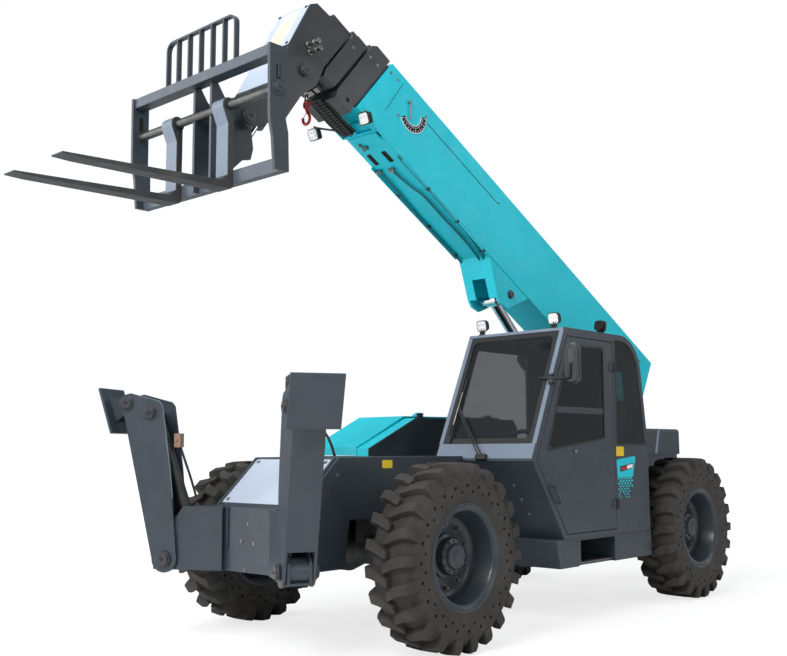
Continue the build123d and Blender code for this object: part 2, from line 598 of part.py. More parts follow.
# ---- carriage and forks ----
def make_carriage():
    """Side plates, top and bottom bars, fork shaft, two pivot plates and the load backrest."""
    left, right = BOOM_Y + CARRIAGE_HALF_WIDTH, BOOM_Y - CARRIAGE_HALF_WIDTH
    top, bottom = CARRIAGE_TOP, CARRIAGE_BOTTOM
    side = [(4625, top), (4762, top), (4756, 3462), (4730, 3342), (4712, bottom), (4592, bottom),
            (4600, 3385), (4622, 3470)]
    shaft_x, shaft_z = FORK_SHAFT
    carriage = slab(side, left - CARRIAGE_PLATE, left) + slab(side, right, right + CARRIAGE_PLATE)
    carriage = carriage + block(4650, 4745, right, left, top - 72, top)
    carriage = carriage + slab([(4595, bottom), (4650, bottom), (4650, bottom + 50), (4625, bottom + 100),
                                (4595, bottom + 100)], right, left)
    carriage = carriage + cross_bar(shaft_x, shaft_z, right, left, FORK_SHAFT_RADIUS)
    pivot_x, pivot_z = TILT_PIVOT
    web = [(4700, top - 60), (4655, top - 60), (4590, 3800), (4500, 3758), (pivot_x, 3762),
           (4368, 3722), (4355, 3650), (4330, 3480), (4352, 3400), (4420, 3385), (4600, 3215),
           (4610, bottom), (4700, bottom), (4700, shaft_z)]
    for side_y in (-1, 1):
        y0, y1 = sorted((BOOM_Y + side_y * 82, BOOM_Y + side_y * 107))
        carriage = carriage + slab(web, y0, y1)
        y0, y1 = sorted((BOOM_Y + side_y * 82, BOOM_Y + side_y * 152))
        carriage = carriage + cross_bar(pivot_x, pivot_z, y0, y1, 72)
    carriage = carriage - cross_bar(pivot_x, pivot_z, BOOM_Y - 160, BOOM_Y + 160, 40 + RUNNING_FIT)
    return carriage + make_backrest()


BACKREST_BARS = 7
BACKREST_HALF_WIDTH = 395
BACKREST_HEIGHT = 330


def make_backrest():
    """Grille of flat bars under a rounded hoop on the carriage's top bar."""
    half, high, flat, thick = BACKREST_HALF_WIDTH, BACKREST_HEIGHT, 38, 14
    hoop = Pos(0, high / 2 - 40) * RectangleRounded(2 * half, high + 80, 70)
    inner = Pos(0, high / 2 - 40) * RectangleRounded(2 * half - 2 * thick, high + 80 - 2 * thick, 56)
    lower = Pos(0, -60) * Rectangle(3 * half, 120)
    plane = Plane(origin=(4735, BOOM_Y, CARRIAGE_TOP), x_dir=(0, 1, 0), z_dir=(1, 0, 0))
    rest = extrude(plane * (hoop - inner - lower), amount=-flat)
    for i in range(1, BACKREST_BARS - 1):
        y = BOOM_Y - half + 2 * half * i / (BACKREST_BARS - 1)
        rest = rest + block(4735 - flat, 4735, y - thick / 2, y + thick / 2, CARRIAGE_TOP - 1,
                            CARRIAGE_TOP + high - thick / 2)
    return rest


def make_fork(y):
    shaft_x, shaft_z = FORK_SHAFT
    heel_x, bottom = 4650 + SEAT_GAP, CARRIAGE_BOTTOM - 35
    front, tip = heel_x + FORK_THICKNESS, FORK_TIP_X
    outline = [(heel_x, bottom + 18), (heel_x + 18, bottom), (tip - 120, bottom - 22),
               (tip, bottom - 18), (tip, bottom - 8), (front + 60, bottom + FORK_THICKNESS),
               (front, bottom + FORK_THICKNESS + 45), (front, shaft_z), (heel_x, shaft_z)]
    fork = slab(outline, y - FORK_WIDTH / 2, y + FORK_WIDTH / 2)
    fork = fork + cross_bar(shaft_x, shaft_z, y - FORK_WIDTH / 2, y + FORK_WIDTH / 2, FORK_SHAFT_RADIUS + 22)
    return fork - cross_bar(shaft_x, shaft_z, y - FORK_WIDTH, y + FORK_WIDTH,
                            FORK_SHAFT_RADIUS + RUNNING_FIT)


# ---- cab ----
def cab_edge_x(z, inset=0):
    """X of the sloping windscreen line at a height."""
    slope = (CAB_SILL[0] - CAB_BROW_X) / (CAB_ROOF_Z - CAB_SILL[1])
    return CAB_SILL[0] - (z - CAB_SILL[1]) * slope - inset


def cab_outline(inset=0):
    """Side view of the cab as a face, with the rear of the roof rounded."""
    points = [(CAB_SILL[0], CAB_SILL[1]), (CAB_BROW_X, CAB_ROOF_Z), (911, CAB_ROOF_Z), (787, 1433),
              (787, CAB_BOTTOM_Z), (2124, CAB_BOTTOM_Z)]
    outline = make_face(Polyline(*points, close=True))
    corner = outline.vertices().sort_by_distance((911, CAB_ROOF_Z, 0))[0]
    outline = fillet(corner, 330)
    return offset(outline, -inset) if inset else outline


def side_view(face, low, high):
    return extrude(Plane.XZ.offset(-low) * face, amount=low - high)


def polygon(points, radius=0):
    face = make_face(Polyline(*points, close=True))
    return fillet(face.vertices(), radius) if radius else face


def door_outline(inset=0):
    gap = inset
    points = [(DOOR_HINGE[0] + 10 + gap, 2238 - gap), (cab_edge_x(2238, 62) - gap, 2238 - gap),
              (cab_edge_x(CAB_SILL[1], 62) - gap * 1.1, CAB_SILL[1]), (2076 - gap, 700 + gap),
              (DOOR_HINGE[0] + 10 + gap, 700 + gap)]
    return polygon(points)


DOOR_WINDOW = [(1490, 2180), (2005, 2165), (2318, 1345), (1500, 1440)]
QUARTER_FRONT = 1296
QUARTER_SILL = 1392


def quarter_window(inset=0):
    frame = cab_outline(48 + inset)
    keep = Pos((QUARTER_FRONT - inset - 1000 / 2), 2000) * Rectangle(1000, 2 * (2000 - QUARTER_SILL - inset))
    return frame & keep


def windscreen_plane():
    dx, dz = CAB_BROW_X - CAB_SILL[0], CAB_ROOF_Z - CAB_SILL[1]
    return Plane(origin=(CAB_SILL[0], (CAB_INNER_Y + CAB_OUTER_Y) / 2, CAB_SILL[1]),
                 x_dir=(0, 1, 0), z_dir=(dz, 0, -dx))


def screen_face(inset=0):
    """Windscreen in its own plane: width across, height up the slope."""
    tall = hypot(CAB_SILL[0] - CAB_BROW_X, CAB_ROOF_Z - CAB_SILL[1])
    wide = CAB_OUTER_Y - CAB_INNER_Y
    low, high = 165 + inset, tall - 75 - inset
    return Pos(0, (low + high) / 2) * RectangleRounded(wide - 130 - 2 * inset, high - low, 35)


RIGHT_WINDOW = [(1250, 2190), (1985, 2190), (2330, 1420), (1250, 1420)]
REAR_WINDOW = (620, 560)


def rear_plane():
    """Plane of the cab's sloping rear wall, origin on its outside below the curve."""
    return Plane(origin=(787, (CAB_INNER_Y + CAB_OUTER_Y) / 2, 1433), x_dir=(0, -1, 0),
                 z_dir=(-(CAB_ROOF_Z - 1433), 0, 911 - 787))


def make_cab_shell():
    shell = side_view(cab_outline(), CAB_INNER_Y, CAB_OUTER_Y)
    shell = shell - side_view(cab_outline(CAB_WALL), CAB_INNER_Y + CAB_WALL, CAB_OUTER_Y - CAB_WALL)
    frame_room = block(700, 2700, 0, FRAME_HALF_WIDTH + 5, 0, FRAME_TOP + 5)
    tub = side_view(cab_outline(), CAB_INNER_Y, FRAME_HALF_WIDTH + 5 + CAB_WALL) & block(
        700, 2700, 0, FRAME_HALF_WIDTH + 5 + CAB_WALL, 0, FRAME_TOP + 5 + CAB_WALL)
    shell = (shell + tub) - frame_room
    shell = shell - side_view(door_outline(-DOOR_GAP), CAB_OUTER_Y - CAB_WALL - 5, CAB_OUTER_Y + 5)
    shell = shell - side_view(quarter_window(), CAB_OUTER_Y - CAB_WALL - 5, CAB_OUTER_Y + 5)
    shell = shell - side_view(polygon(RIGHT_WINDOW, 40), CAB_INNER_Y - 5, CAB_INNER_Y + CAB_WALL + 5)
    shell = shell - extrude(windscreen_plane().offset(30) * screen_face(), amount=-90)
    rear = Pos(0, 330) * RectangleRounded(*REAR_WINDOW, 40)
    return shell - extrude(rear_plane().offset(30) * rear, amount=-90)


def make_cab_glass():
    """Panes set flush in the cab's openings."""
    shrink = SEAT_GAP
    panes = extrude(windscreen_plane().offset(-4) * screen_face(shrink), amount=-GLASS)
    panes = panes + side_view(quarter_window(shrink), CAB_OUTER_Y - 4 - GLASS, CAB_OUTER_Y - 4)
    right = offset(polygon(RIGHT_WINDOW, 40), -shrink)
    panes = panes + side_view(right, CAB_INNER_Y + 4, CAB_INNER_Y + 4 + GLASS)
    width, height = REAR_WINDOW
    rear = Pos(0, 330) * RectangleRounded(width - 2 * shrink, height - 2 * shrink, 40 - shrink)
    return panes + extrude(rear_plane().offset(-4) * rear, amount=-GLASS)


def make_door():
    door = side_view(door_outline(), CAB_OUTER_Y - CAB_WALL, CAB_OUTER_Y)
    door = door - side_view(polygon(DOOR_WINDOW, 50), CAB_OUTER_Y - CAB_WALL - 5, CAB_OUTER_Y + 5)
    door = door + block(1480, 2260, CAB_OUTER_Y - 26, CAB_OUTER_Y - 12, 1640, 1672)
    for z in (900, 2030):
        door = door + Pos(*DOOR_HINGE, z) * Cylinder(12, 60)
        for start, inner in ((0, 1), (10, -5)):
            door = door + block(DOOR_HINGE[0] + start, DOOR_HINGE[0] + 60, CAB_OUTER_Y + inner,
                                CAB_OUTER_Y + 9, z - 30, z + 30)
    handle = bar((2290, CAB_OUTER_Y - 2, 1085), (2290, CAB_OUTER_Y + 34, 1070), 11)
    handle = handle + bar((2290, CAB_OUTER_Y + 34, 1070), (2205, CAB_OUTER_Y + 34, 950), 11)
    return door + handle + bar((2205, CAB_OUTER_Y + 34, 950), (2205, CAB_OUTER_Y - 2, 940), 11)


def make_door_glass():
    pane = offset(polygon(DOOR_WINDOW, 50), -SEAT_GAP)
    return side_view(pane, CAB_OUTER_Y - 10, CAB_OUTER_Y - 10 + GLASS)


def make_seat():
    middle = SEAT_Y
    floor = CAB_BOTTOM_Z + CAB_WALL + SEAT_GAP
    seat = block(1130, 1560, middle - 210, middle + 210, floor, floor + 330)
    seat = seat + fillet(block(1060, 1590, middle - 250, middle + 250, floor + 330, floor + 460).edges()
                         .filter_by(Axis.Z), 60)
    back = slab([(1040, floor + 430), (1180, floor + 430), (1090, 1760), (970, 1760)],
                middle - 240, middle + 240)
    return seat + back


def make_console():
    """Dashboard, steering column and wheel."""
    middle = SEAT_Y
    floor = CAB_BOTTOM_Z + CAB_WALL + SEAT_GAP
    column = slab([(1960, floor), (2060, floor), (2210, 1290), (2060, 1390), (2030, 1340)], middle - 150,
                  middle + 150)
    hub = Plane(origin=(1990, middle, 1415), z_dir=(-0.42, 0, 0.91))
    column = column + bar((2080, middle, 1320), (1990, middle, 1415), 28)
    ring = hub * extrude(RegularPolygon(200, 24) - RegularPolygon(172, 24), amount=12, both=True)
    for angle in (0, 120, 240):
        spoke = Rot(0, 0, angle) * Pos(95, 0, 0) * Box(190, 26, 12)
        ring = ring + hub * spoke
    return column + ring + hub * Cylinder(34, 30)


# ---- bodywork ----
def make_side_boxes():
    """Step and boxes under the cab, against the frame's left side."""
    inner, outer, floor = FRAME_HALF_WIDTH + SEAT_GAP, CAB_OUTER_Y - 18, 440
    top = CAB_BOTTOM_Z - SEAT_GAP
    boxes = block(745, 2210, inner, outer, top - 22, top)
    boxes = boxes + block(745, 1350, inner, outer, floor, top)
    boxes = boxes + slab([(1870, floor + 20), (1900, floor), (2160, floor), (2210, top), (1870, top)],
                         inner, outer)
    return boxes + block(1350, 1870, inner, outer - 40, floor, floor + 18)


def make_rear_box():
    """Hydraulic tank beside the boom's uprights, over the left rear wheel's inner side."""
    tank = block(40, 700, FRAME_HALF_WIDTH - 60, 1040, FRAME_TOP + SEAT_GAP, 1530)
    return fillet(tank.edges().filter_by(Axis.X).sort_by(Axis.Z)[-2:], 30)


def make_engine_housing():
    """Open-topped tray with side walls that carries the engine on the right of the frame."""
    y0, y1 = HOOD_OUTER_Y, -(FRAME_HALF_WIDTH + SEAT_GAP)
    x0, x1, wall = HOUSING_REAR_X, HOUSING_FRONT_X, HOUSING_WALL
    box = block(x0, x1, y0, y1, HOUSING_FLOOR - wall, FRAME_TOP)
    box = box - block(x0 + wall, x1 - wall, y0 + wall, y1 - wall, HOUSING_FLOOR, FRAME_TOP + 5)
    slots = [block(x, x + 34, y0 - 5, y0 + wall + 5, 900, 1180) for x in range(x0 + 500, x0 + 1100, 60)]
    for slot in slots:
        box = box - slot
    return box


def make_cowl():
    """Fixed dark cowl between the boom and the hood."""
    bend_x, bend_z = HOOD_BEND
    outline = [(HOOD_REAR_X, FRAME_TOP + SEAT_GAP), (HOOD_REAR_X, HOOD_TOP - 95),
               (HOOD_REAR_X + 60, HOOD_TOP - 23), (bend_x, bend_z - 22), (HOOD_FRONT_X, HOOD_NOSE_Z - 14),
               (HOOD_FRONT_X, FRAME_TOP + SEAT_GAP)]
    cowl = slab(outline, HOOD_INNER_Y + DOOR_GAP, -300)
    inner = [(HOOD_REAR_X + 15, FRAME_TOP - 5), (HOOD_REAR_X + 15, HOOD_TOP - 105),
             (HOOD_REAR_X + 66, HOOD_TOP - 38), (bend_x - 3, bend_z - 37),
             (HOOD_FRONT_X - 15, HOOD_NOSE_Z - 26), (HOOD_FRONT_X - 15, FRAME_TOP - 5)]
    cowl = cowl - slab(inner, HOOD_INNER_Y + DOOR_GAP - 1, -315)
    y, z = HOOD_HINGE
    for x in HOOD_HINGES_X:
        cowl = cowl + block(x - 30, x + 30, y, y + 20, HOOD_TOP - 37, z) + hinge_tube(x, 30, HINGE_RADIUS)
    return cowl - hinge_tube((HOOD_REAR_X + HOOD_FRONT_X) / 2, 1000, HINGE_PIN_RADIUS + RUNNING_FIT)


def hinge_tube(x, half, radius):
    return bar((x - half, *HOOD_HINGE), (x + half, *HOOD_HINGE), radius)


def make_hood():
    """Teal engine lid, hinged along its inner top edge."""
    base = FRAME_TOP + DOOR_GAP
    outer, wall = HOOD_OUTER_Y - 6, HOOD_WALL
    bend_x, bend_z = HOOD_BEND
    outline = [(HOOD_REAR_X, base), (HOOD_REAR_X, HOOD_TOP - 85), (HOOD_REAR_X + 70, HOOD_TOP),
               (bend_x, bend_z), (HOOD_FRONT_X, HOOD_NOSE_Z), (HOOD_FRONT_X, base)]
    hood = slab(outline, outer, HOOD_INNER_Y)
    side_edges = hood.edges().filter_by_position(Axis.Y, outer - 1, outer + 1)
    hood = fillet(side_edges.filter_by(lambda edge: edge.center().Z > HOOD_NOSE_Z + 1), HOOD_CORNER)
    inner = [(HOOD_REAR_X + wall, base - 5), (HOOD_REAR_X + wall, HOOD_TOP - 93),
             (HOOD_REAR_X + 76, HOOD_TOP - wall), (bend_x - 2, bend_z - wall),
             (HOOD_FRONT_X - wall, HOOD_NOSE_Z - wall), (HOOD_FRONT_X - wall, base - 5)]
    hood = hood - slab(inner, HOOD_OUTER_Y + HOOD_WALL - 2, HOOD_INNER_Y + 1)
    y, z = HOOD_HINGE
    for x in HOOD_HINGES_X:
        for side in (-1, 1):
            leaf = x + side * 40
            hood = hood + block(leaf - 8, leaf + 8, y - 40, y, HOOD_TOP - 15, z)
            hood = hood + hinge_tube(leaf, 8, HINGE_RADIUS)
        hood = hood + hinge_tube(x, 40, HINGE_PIN_RADIUS)
    return hood


def make_engine():
    """Plain block for the engine's mass, on four feet on the housing's floor."""
    rear, front = HOUSING_REAR_X + ENGINE_ENDS[0], HOUSING_FRONT_X - ENGINE_ENDS[1]
    left, right, sump = HOOD_INNER_Y - 98, HOOD_OUTER_Y + 80, HOUSING_FLOOR + 48
    engine = block(rear, front, right, left, sump, FRAME_TOP - 100)
    engine = engine + block(rear + 150, front - 200, right + 60, left - 60, FRAME_TOP - 105, HOOD_TOP - 175)
    for x in (rear + 50, front - 140):
        for y in (right + 20, left - 80):
            engine = engine + block(x, x + 90, y, y + 60, HOUSING_FLOOR + SEAT_GAP, sump + 10)
    return engine


def make_boom_rest():
    """Lug on the deck that takes the lowered boom."""
    end, top = SLOPE_START - 30, FRAME_TOP + 85
    return slab([(end - 150, FRAME_TOP - 5), (end - 110, top), (end - 50, top), (end, FRAME_TOP - 5)],
                BOOM_Y - 15, BOOM_Y + 15)


def make_mirrors():
    left_arm = bar((2215, CAB_OUTER_Y + SEAT_GAP, 1885), (2215, MIRROR_Y, 1885), 9)
    left_arm = left_arm + bar((2215, MIRROR_Y, 1882), (2215, MIRROR_Y, 2020), 9)
    head = Pos(2240, MIRROR_Y, 2000) * Rot(0, 90, 0) * Box(320, 165, 45)
    head = fillet(head.edges().filter_by(Axis.X), 80)
    post = bar((3205, -430, FRAME_TOP + SEAT_GAP), (3205, -430, 1590), 10)
    post = post + bar((3205, -430, 1590), (3205, -900, 1590), 10)
    post = post + bar((3205, -900, 1585), (3205, -900, 1700), 9)
    right = Pos(3185, -900, 1790) * Rot(0, 90, 0) * Box(380, 170, 45)
    right = fillet(right.edges().filter_by(Axis.X), 80)
    return fused(left_arm, head) + fused(post, right)


LAMPS = [(2075, 300, CAB_ROOF_Z), (2075, 1010, CAB_ROOF_Z), (1300, 1000, CAB_ROOF_Z)]


def make_work_lamps():
    """Lamps on the cab's roof."""
    lamps = None
    for x, y, z in LAMPS:
        lamp = Pos(x - 30, y, z + SEAT_GAP + 15) * Cylinder(22, 30)
        lamp = lamp + block(x - 62, x, y - 52, y + 52, z + 28, z + 132)
        lamps = lamp if lamps is None else lamps + lamp
    return lamps


def make_tow_hitch():
    """Rear clevis for a towing pin."""
    x0, x1 = FRAME_REAR - 130, FRAME_REAR + 5
    jaw = block(x0, x1, -70, 70, 640, 780) - block(x0 - 5, x1 - 40, -90, 90, 675, 745)
    return jaw - Pos(x0 + 55, 0, 710) * Cylinder(20, 200)


# ---- the parts and their files ----
FRONT, REAR = WHEELBASE, 0


def wheel_place(shape, x, side):
    placed = Pos(x, WHEEL_Y, AXLE_Z) * shape
    return placed if side > 0 else right_of(placed)


def build():
    rim, tyre = make_rim(), make_tyre()
    parts = {}
    for end, x, rod_side in (("front", FRONT, -1), ("rear", REAR, 1)):
        parts[f"axle_{end}"] = make_axle(x, rod_side)
        parts[f"steering_rod_{end}"] = make_steering_rod(x, rod_side)
        knuckle = make_knuckle(x, rod_side)
        for name, side in (("left", 1), ("right", -1)):
            parts[f"knuckle_{end}_{name}"] = knuckle if side > 0 else right_of(knuckle)
            parts[f"rim_{end}_{name}"] = wheel_place(rim, x, side)
            parts[f"tyre_{end}_{name}"] = wheel_place(tyre, x, side)
    for name, make in (("leg", make_leg), ("leg_foot", make_foot), ("leg_barrel", make_leg_barrel),
                       ("leg_rod", make_leg_rod)):
        shape = make()
        parts[f"{name}_left"] = shape
        parts[f"{name}_right"] = right_of(shape)
    parts["frame"] = make_frame() + make_boom_rest() + make_tow_hitch()
    parts["boom_uprights"] = make_uprights()
    parts["boom_pin"] = make_boom_pin()
    parts["front_beam"] = make_front_beam()
    parts["boom_base"] = make_boom_base()
    parts["boom_second"] = make_collared("second")
    parts["boom_third"] = make_collared("third")
    parts["boom_head"] = make_boom_head()
    lift, tilt = (LIFT_BASE, LIFT_EYE), (TILT_UPPER, TILT_EYE)
    parts["lift_barrel"] = make_barrel(*lift, LIFT_BARREL_RADIUS, LIFT_ROD_RADIUS, 2100, 45, 60)
    parts["lift_rod"] = make_rod(*lift, LIFT_ROD_RADIUS, 700, LIFT_EYE_RADIUS, 55, 38, 140)
    parts["tilt_barrel"] = make_barrel(*tilt, TILT_BARREL_RADIUS, TILT_ROD_RADIUS, 540, 30, 50, 90)
    parts["tilt_rod"] = make_rod(*tilt, TILT_ROD_RADIUS, 310, 48, 45, 28, 74)
    parts["carriage"] = make_carriage()
    parts["fork_left"] = make_fork(FORK_LEFT_Y)
    parts["fork_right"] = make_fork(FORK_RIGHT_Y)
    parts["cab_shell"] = make_cab_shell()
    parts["cab_glass"] = make_cab_glass()
    parts["cab_door"] = make_door()
    parts["cab_door_glass"] = make_door_glass()
    parts["cab_seat"] = make_seat()
    parts["cab_console"] = make_console()
    parts["side_boxes"] = make_side_boxes()
    parts["hydraulic_tank"] = make_rear_box()
    parts["engine_housing"] = make_engine_housing()
    parts["engine_cowl"] = make_cowl()
    parts["engine_hood"] = make_hood()
    parts["engine_block"] = make_engine()
    parts["mirrors"] = make_mirrors()
    parts["work_lamps"] = make_work_lamps()
    return parts


def save(name, shape):
    placed = Pos(-ORIGIN[0], -ORIGIN[1], -ORIGIN[2]) * shape
    export_step(placed, f"parts/{name}.step")


if __name__ == "__main__":
    os.makedirs("parts", exist_ok=True)
    for name, shape in build().items():
        save(name, shape)
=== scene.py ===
import json
import math

import bmesh
import bpy
from mathutils import Matrix, Vector
from mathutils.geometry import tessellate_polygon


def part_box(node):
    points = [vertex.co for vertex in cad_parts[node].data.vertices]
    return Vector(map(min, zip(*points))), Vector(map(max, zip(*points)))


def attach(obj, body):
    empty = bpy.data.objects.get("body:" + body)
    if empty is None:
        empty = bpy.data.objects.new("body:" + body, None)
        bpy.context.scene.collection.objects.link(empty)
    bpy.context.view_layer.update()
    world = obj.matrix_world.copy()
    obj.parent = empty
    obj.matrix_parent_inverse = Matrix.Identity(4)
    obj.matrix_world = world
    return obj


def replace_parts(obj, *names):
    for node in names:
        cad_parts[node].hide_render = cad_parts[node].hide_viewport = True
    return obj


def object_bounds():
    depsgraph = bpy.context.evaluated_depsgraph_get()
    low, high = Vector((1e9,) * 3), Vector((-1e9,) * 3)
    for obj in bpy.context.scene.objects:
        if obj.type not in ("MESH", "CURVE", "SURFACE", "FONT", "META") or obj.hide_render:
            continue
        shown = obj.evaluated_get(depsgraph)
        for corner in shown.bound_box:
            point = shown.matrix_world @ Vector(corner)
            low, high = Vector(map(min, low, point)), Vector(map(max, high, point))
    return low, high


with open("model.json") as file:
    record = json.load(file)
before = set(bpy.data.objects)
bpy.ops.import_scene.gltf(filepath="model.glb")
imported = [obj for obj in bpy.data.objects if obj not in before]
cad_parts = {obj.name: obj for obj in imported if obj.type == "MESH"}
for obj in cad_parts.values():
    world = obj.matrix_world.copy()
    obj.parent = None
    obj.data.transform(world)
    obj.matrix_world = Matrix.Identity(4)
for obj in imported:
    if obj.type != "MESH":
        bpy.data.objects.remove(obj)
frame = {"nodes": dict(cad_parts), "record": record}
cad_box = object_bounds()

# ---- machine frame: millimetres forward of the rear axle, to the left of the middle, above ground ----
left_tyre, right_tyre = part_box("tyre_rear_left"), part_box("tyre_rear_right")
REAR_X = (left_tyre[0].x + left_tyre[1].x) / 2
MIDDLE_Y = (left_tyre[0].y + right_tyre[1].y) / 2
FOOT = (2978, 3814)         # X and Z on the boom's underside, at the mouth of its base section
TILT = math.radians(29.2)
BOOM_Y = -80                # the middle of the boom


def at(x, y, z):
    return Vector((REAR_X + x / 1000, MIDDLE_Y + y / 1000, z / 1000))


def polar(radius, angle, *height):
    return (radius * math.cos(angle), radius * math.sin(angle), *height)


def on_boom(s, h, y=BOOM_Y):
    """A point given along the boom and square to it."""
    return at(FOOT[0] + s * math.cos(TILT) - h * math.sin(TILT), y,
              FOOT[1] + s * math.sin(TILT) + h * math.cos(TILT))


ALONG = Vector((math.cos(TILT), 0, math.sin(TILT)))
ACROSS = Vector((-math.sin(TILT), 0, math.cos(TILT)))
LEFT, RIGHT, UP, FORWARD = Vector((0, 1, 0)), Vector((0, -1, 0)), Vector((0, 0, 1)), Vector((1, 0, 0))
SIDES = (("left", 1, LEFT), ("right", -1, RIGHT))


# ---- materials ----
def srgb(*rgb):
    return tuple(c / 12.92 if c <= 0.04045 else ((c + 0.055) / 1.055) ** 2.4 for c in rgb) + (1,)


class Nodes:
    """A short way to wire one material."""

    def __init__(self, name):
        self.material = bpy.data.materials.new(name)
        self.material.use_nodes = True
        self.tree = self.material.node_tree
        self.shader = self.tree.nodes["Principled BSDF"]
        self.coordinates = self.add("ShaderNodeTexCoord").outputs["Object"]

    def add(self, kind, inputs=(), **settings):
        node = self.tree.nodes.new(kind)
        for key, value in settings.items():
            setattr(node, key, value)
        for key, value in inputs:
            node.inputs[key].default_value = value
        return node

    def link(self, start, end):
        self.tree.links.new(start, end)

    def noise(self, scale, detail, roughness=0.55):
        inputs = (("Scale", scale), ("Detail", detail), ("Roughness", roughness))
        node = self.add("ShaderNodeTexNoise", inputs)
        self.link(self.coordinates, node.inputs["Vector"])
        return node.outputs["Fac"]

    def ramp(self, factor, stops):
        node = self.add("ShaderNodeValToRGB")
        while len(node.color_ramp.elements) < len(stops):
            node.color_ramp.elements.new(0.5)
        for element, (position, colour) in zip(node.color_ramp.elements, stops):
            element.position = position
            element.color = colour
        self.link(factor, node.inputs["Fac"])
        return node.outputs["Color"]

    def range(self, factor, low, high, start=0.0, end=1.0):
        inputs = (("From Min", start), ("From Max", end), ("To Min", low), ("To Max", high))
        node = self.add("ShaderNodeMapRange", inputs)
        self.link(factor, node.inputs["Value"])
        return node.outputs["Result"]

    def mix(self, factor, a, b):
        node = self.add("ShaderNodeMix", data_type="RGBA")
        self.link(factor, node.inputs["Factor"])
        for value, socket in ((a, node.inputs[6]), (b, node.inputs[7])):
            if isinstance(value, tuple):
                socket.default_value = value
            else:
                self.link(value, socket)
        return node.outputs[2]

    def bump(self, height, strength, distance, under=None):
        node = self.add("ShaderNodeBump", (("Strength", strength), ("Distance", distance)))
        self.link(height, node.inputs["Height"])
        if under is not None:
            self.link(under, node.inputs["Normal"])
        return node.outputs["Normal"]

    def finish(self, colour, roughness, normal=None, **constants):
        for value, key in ((colour, "Base Color"), (roughness, "Roughness")):
            if hasattr(value, "node"):
                self.link(value, self.shader.inputs[key])
            else:
                self.shader.inputs[key].default_value = value
        if normal is not None:
            self.link(normal, self.shader.inputs["Normal"])
        for key, value in constants.items():
            self.shader.inputs[key.replace("_", " ")].default_value = value
        return self.material


def shade(colour, factor, lift=0.0):
    return tuple(min(1, c * factor + lift) for c in colour[:3]) + (1,)


def paint(name, colour, roughness, dust, coat, peel=0.05):
    """Machine paint: faint tone changes, orange peel, and dust that gathers in patches."""
    n = Nodes(name)
    tone = n.ramp(n.noise(1.3, 5), [(0.3, shade(colour, 0.90)), (0.7, shade(colour, 1.10))])
    patches = n.range(n.noise(5.0, 8, 0.7), 0.0, dust, 0.45, 0.85)
    colour = n.mix(patches, tone, srgb(0.50, 0.49, 0.46))
    rough = n.range(n.noise(7.0, 6, 0.65), roughness * 0.85, min(1, roughness * 1.35), 0.3, 0.7)
    normal = n.bump(n.noise(140, 2), peel, 0.0006, n.bump(n.noise(2.2, 2), 0.06, 0.004))
    return n.finish(colour, rough, normal, Coat_Weight=coat, Coat_Roughness=0.12)


def metal(name, colour, roughness, wear=0.4):
    """Bare metal with dull patches."""
    n = Nodes(name)
    tone = n.ramp(n.noise(9, 8, 0.7), [(0.35, shade(colour, 1 - wear)), (0.65, colour)])
    rough = n.range(n.noise(22, 6, 0.7), roughness * 0.7, min(1, roughness * 1.5), 0.3, 0.7)
    return n.finish(tone, rough, n.bump(n.noise(90, 4, 0.6), 0.12, 0.0008), Metallic=1.0)


def rubber(name, colour, dusty):
    """Tyre rubber: brown dust in broad patches over near-black, fine grain and small scuffs."""
    n = Nodes(name)
    patches = n.range(n.noise(4.5, 9, 0.72), 0.0, 1.0, 0.36, 0.66)
    tone = n.mix(patches, colour, dusty)
    specks = n.range(n.noise(60, 4, 0.7), 0.0, 0.35, 0.55, 0.75)
    tone = n.mix(specks, tone, srgb(0.36, 0.33, 0.30))
    normal = n.bump(n.noise(260, 3), 0.25, 0.0006, n.bump(n.noise(26, 6, 0.7), 0.35, 0.003))
    return n.finish(tone, n.range(patches, 0.66, 0.92), normal)


def plastic(name, colour, roughness):
    """Moulded plastic or a printed label: fine grain and slightly bleached patches."""
    n = Nodes(name)
    tone = n.ramp(n.noise(3.5, 6, 0.6), [(0.35, colour), (0.75, shade(colour, 1.35, 0.004))])
    normal = n.bump(n.noise(900, 2), 0.22, 0.0004)
    return n.finish(tone, n.range(n.noise(12, 5), roughness * 0.85, min(1, roughness * 1.2)), normal)


def fabric(name, colour):
    """Seat cloth: a plain weave of two crossing waves."""
    n = Nodes(name)
    waves = []
    for axis in ("X", "Z"):
        wave = n.add("ShaderNodeTexWave", (("Scale", 420),), bands_direction=axis)
        n.link(n.coordinates, wave.inputs["Vector"])
        waves.append(wave.outputs["Fac"])
    weave = n.add("ShaderNodeMath", operation="MAXIMUM")
    n.link(waves[0], weave.inputs[0])
    n.link(waves[1], weave.inputs[1])
    tone = n.ramp(weave.outputs["Value"], [(0.2, colour), (0.9, shade(colour, 1.7, 0.01))])
    return n.finish(tone, 0.9, n.bump(weave.outputs["Value"], 0.4, 0.0006), Sheen_Weight=0.3)


def glass(name, tint):
    """Tinted cab glass with faint dust."""
    n = Nodes(name)
    dust = n.range(n.noise(6, 8, 0.7), 0.0, 1.0, 0.4, 0.8)
    rough = n.range(dust, 0.03, 0.10)
    n.material.surface_render_method = "BLENDED"
    return n.finish(tint, rough, n.bump(n.noise(1.2, 1), 0.02, 0.002), Transmission_Weight=0.0, IOR=1.5,
                    Alpha=0.45, Specular_IOR_Level=0.8)


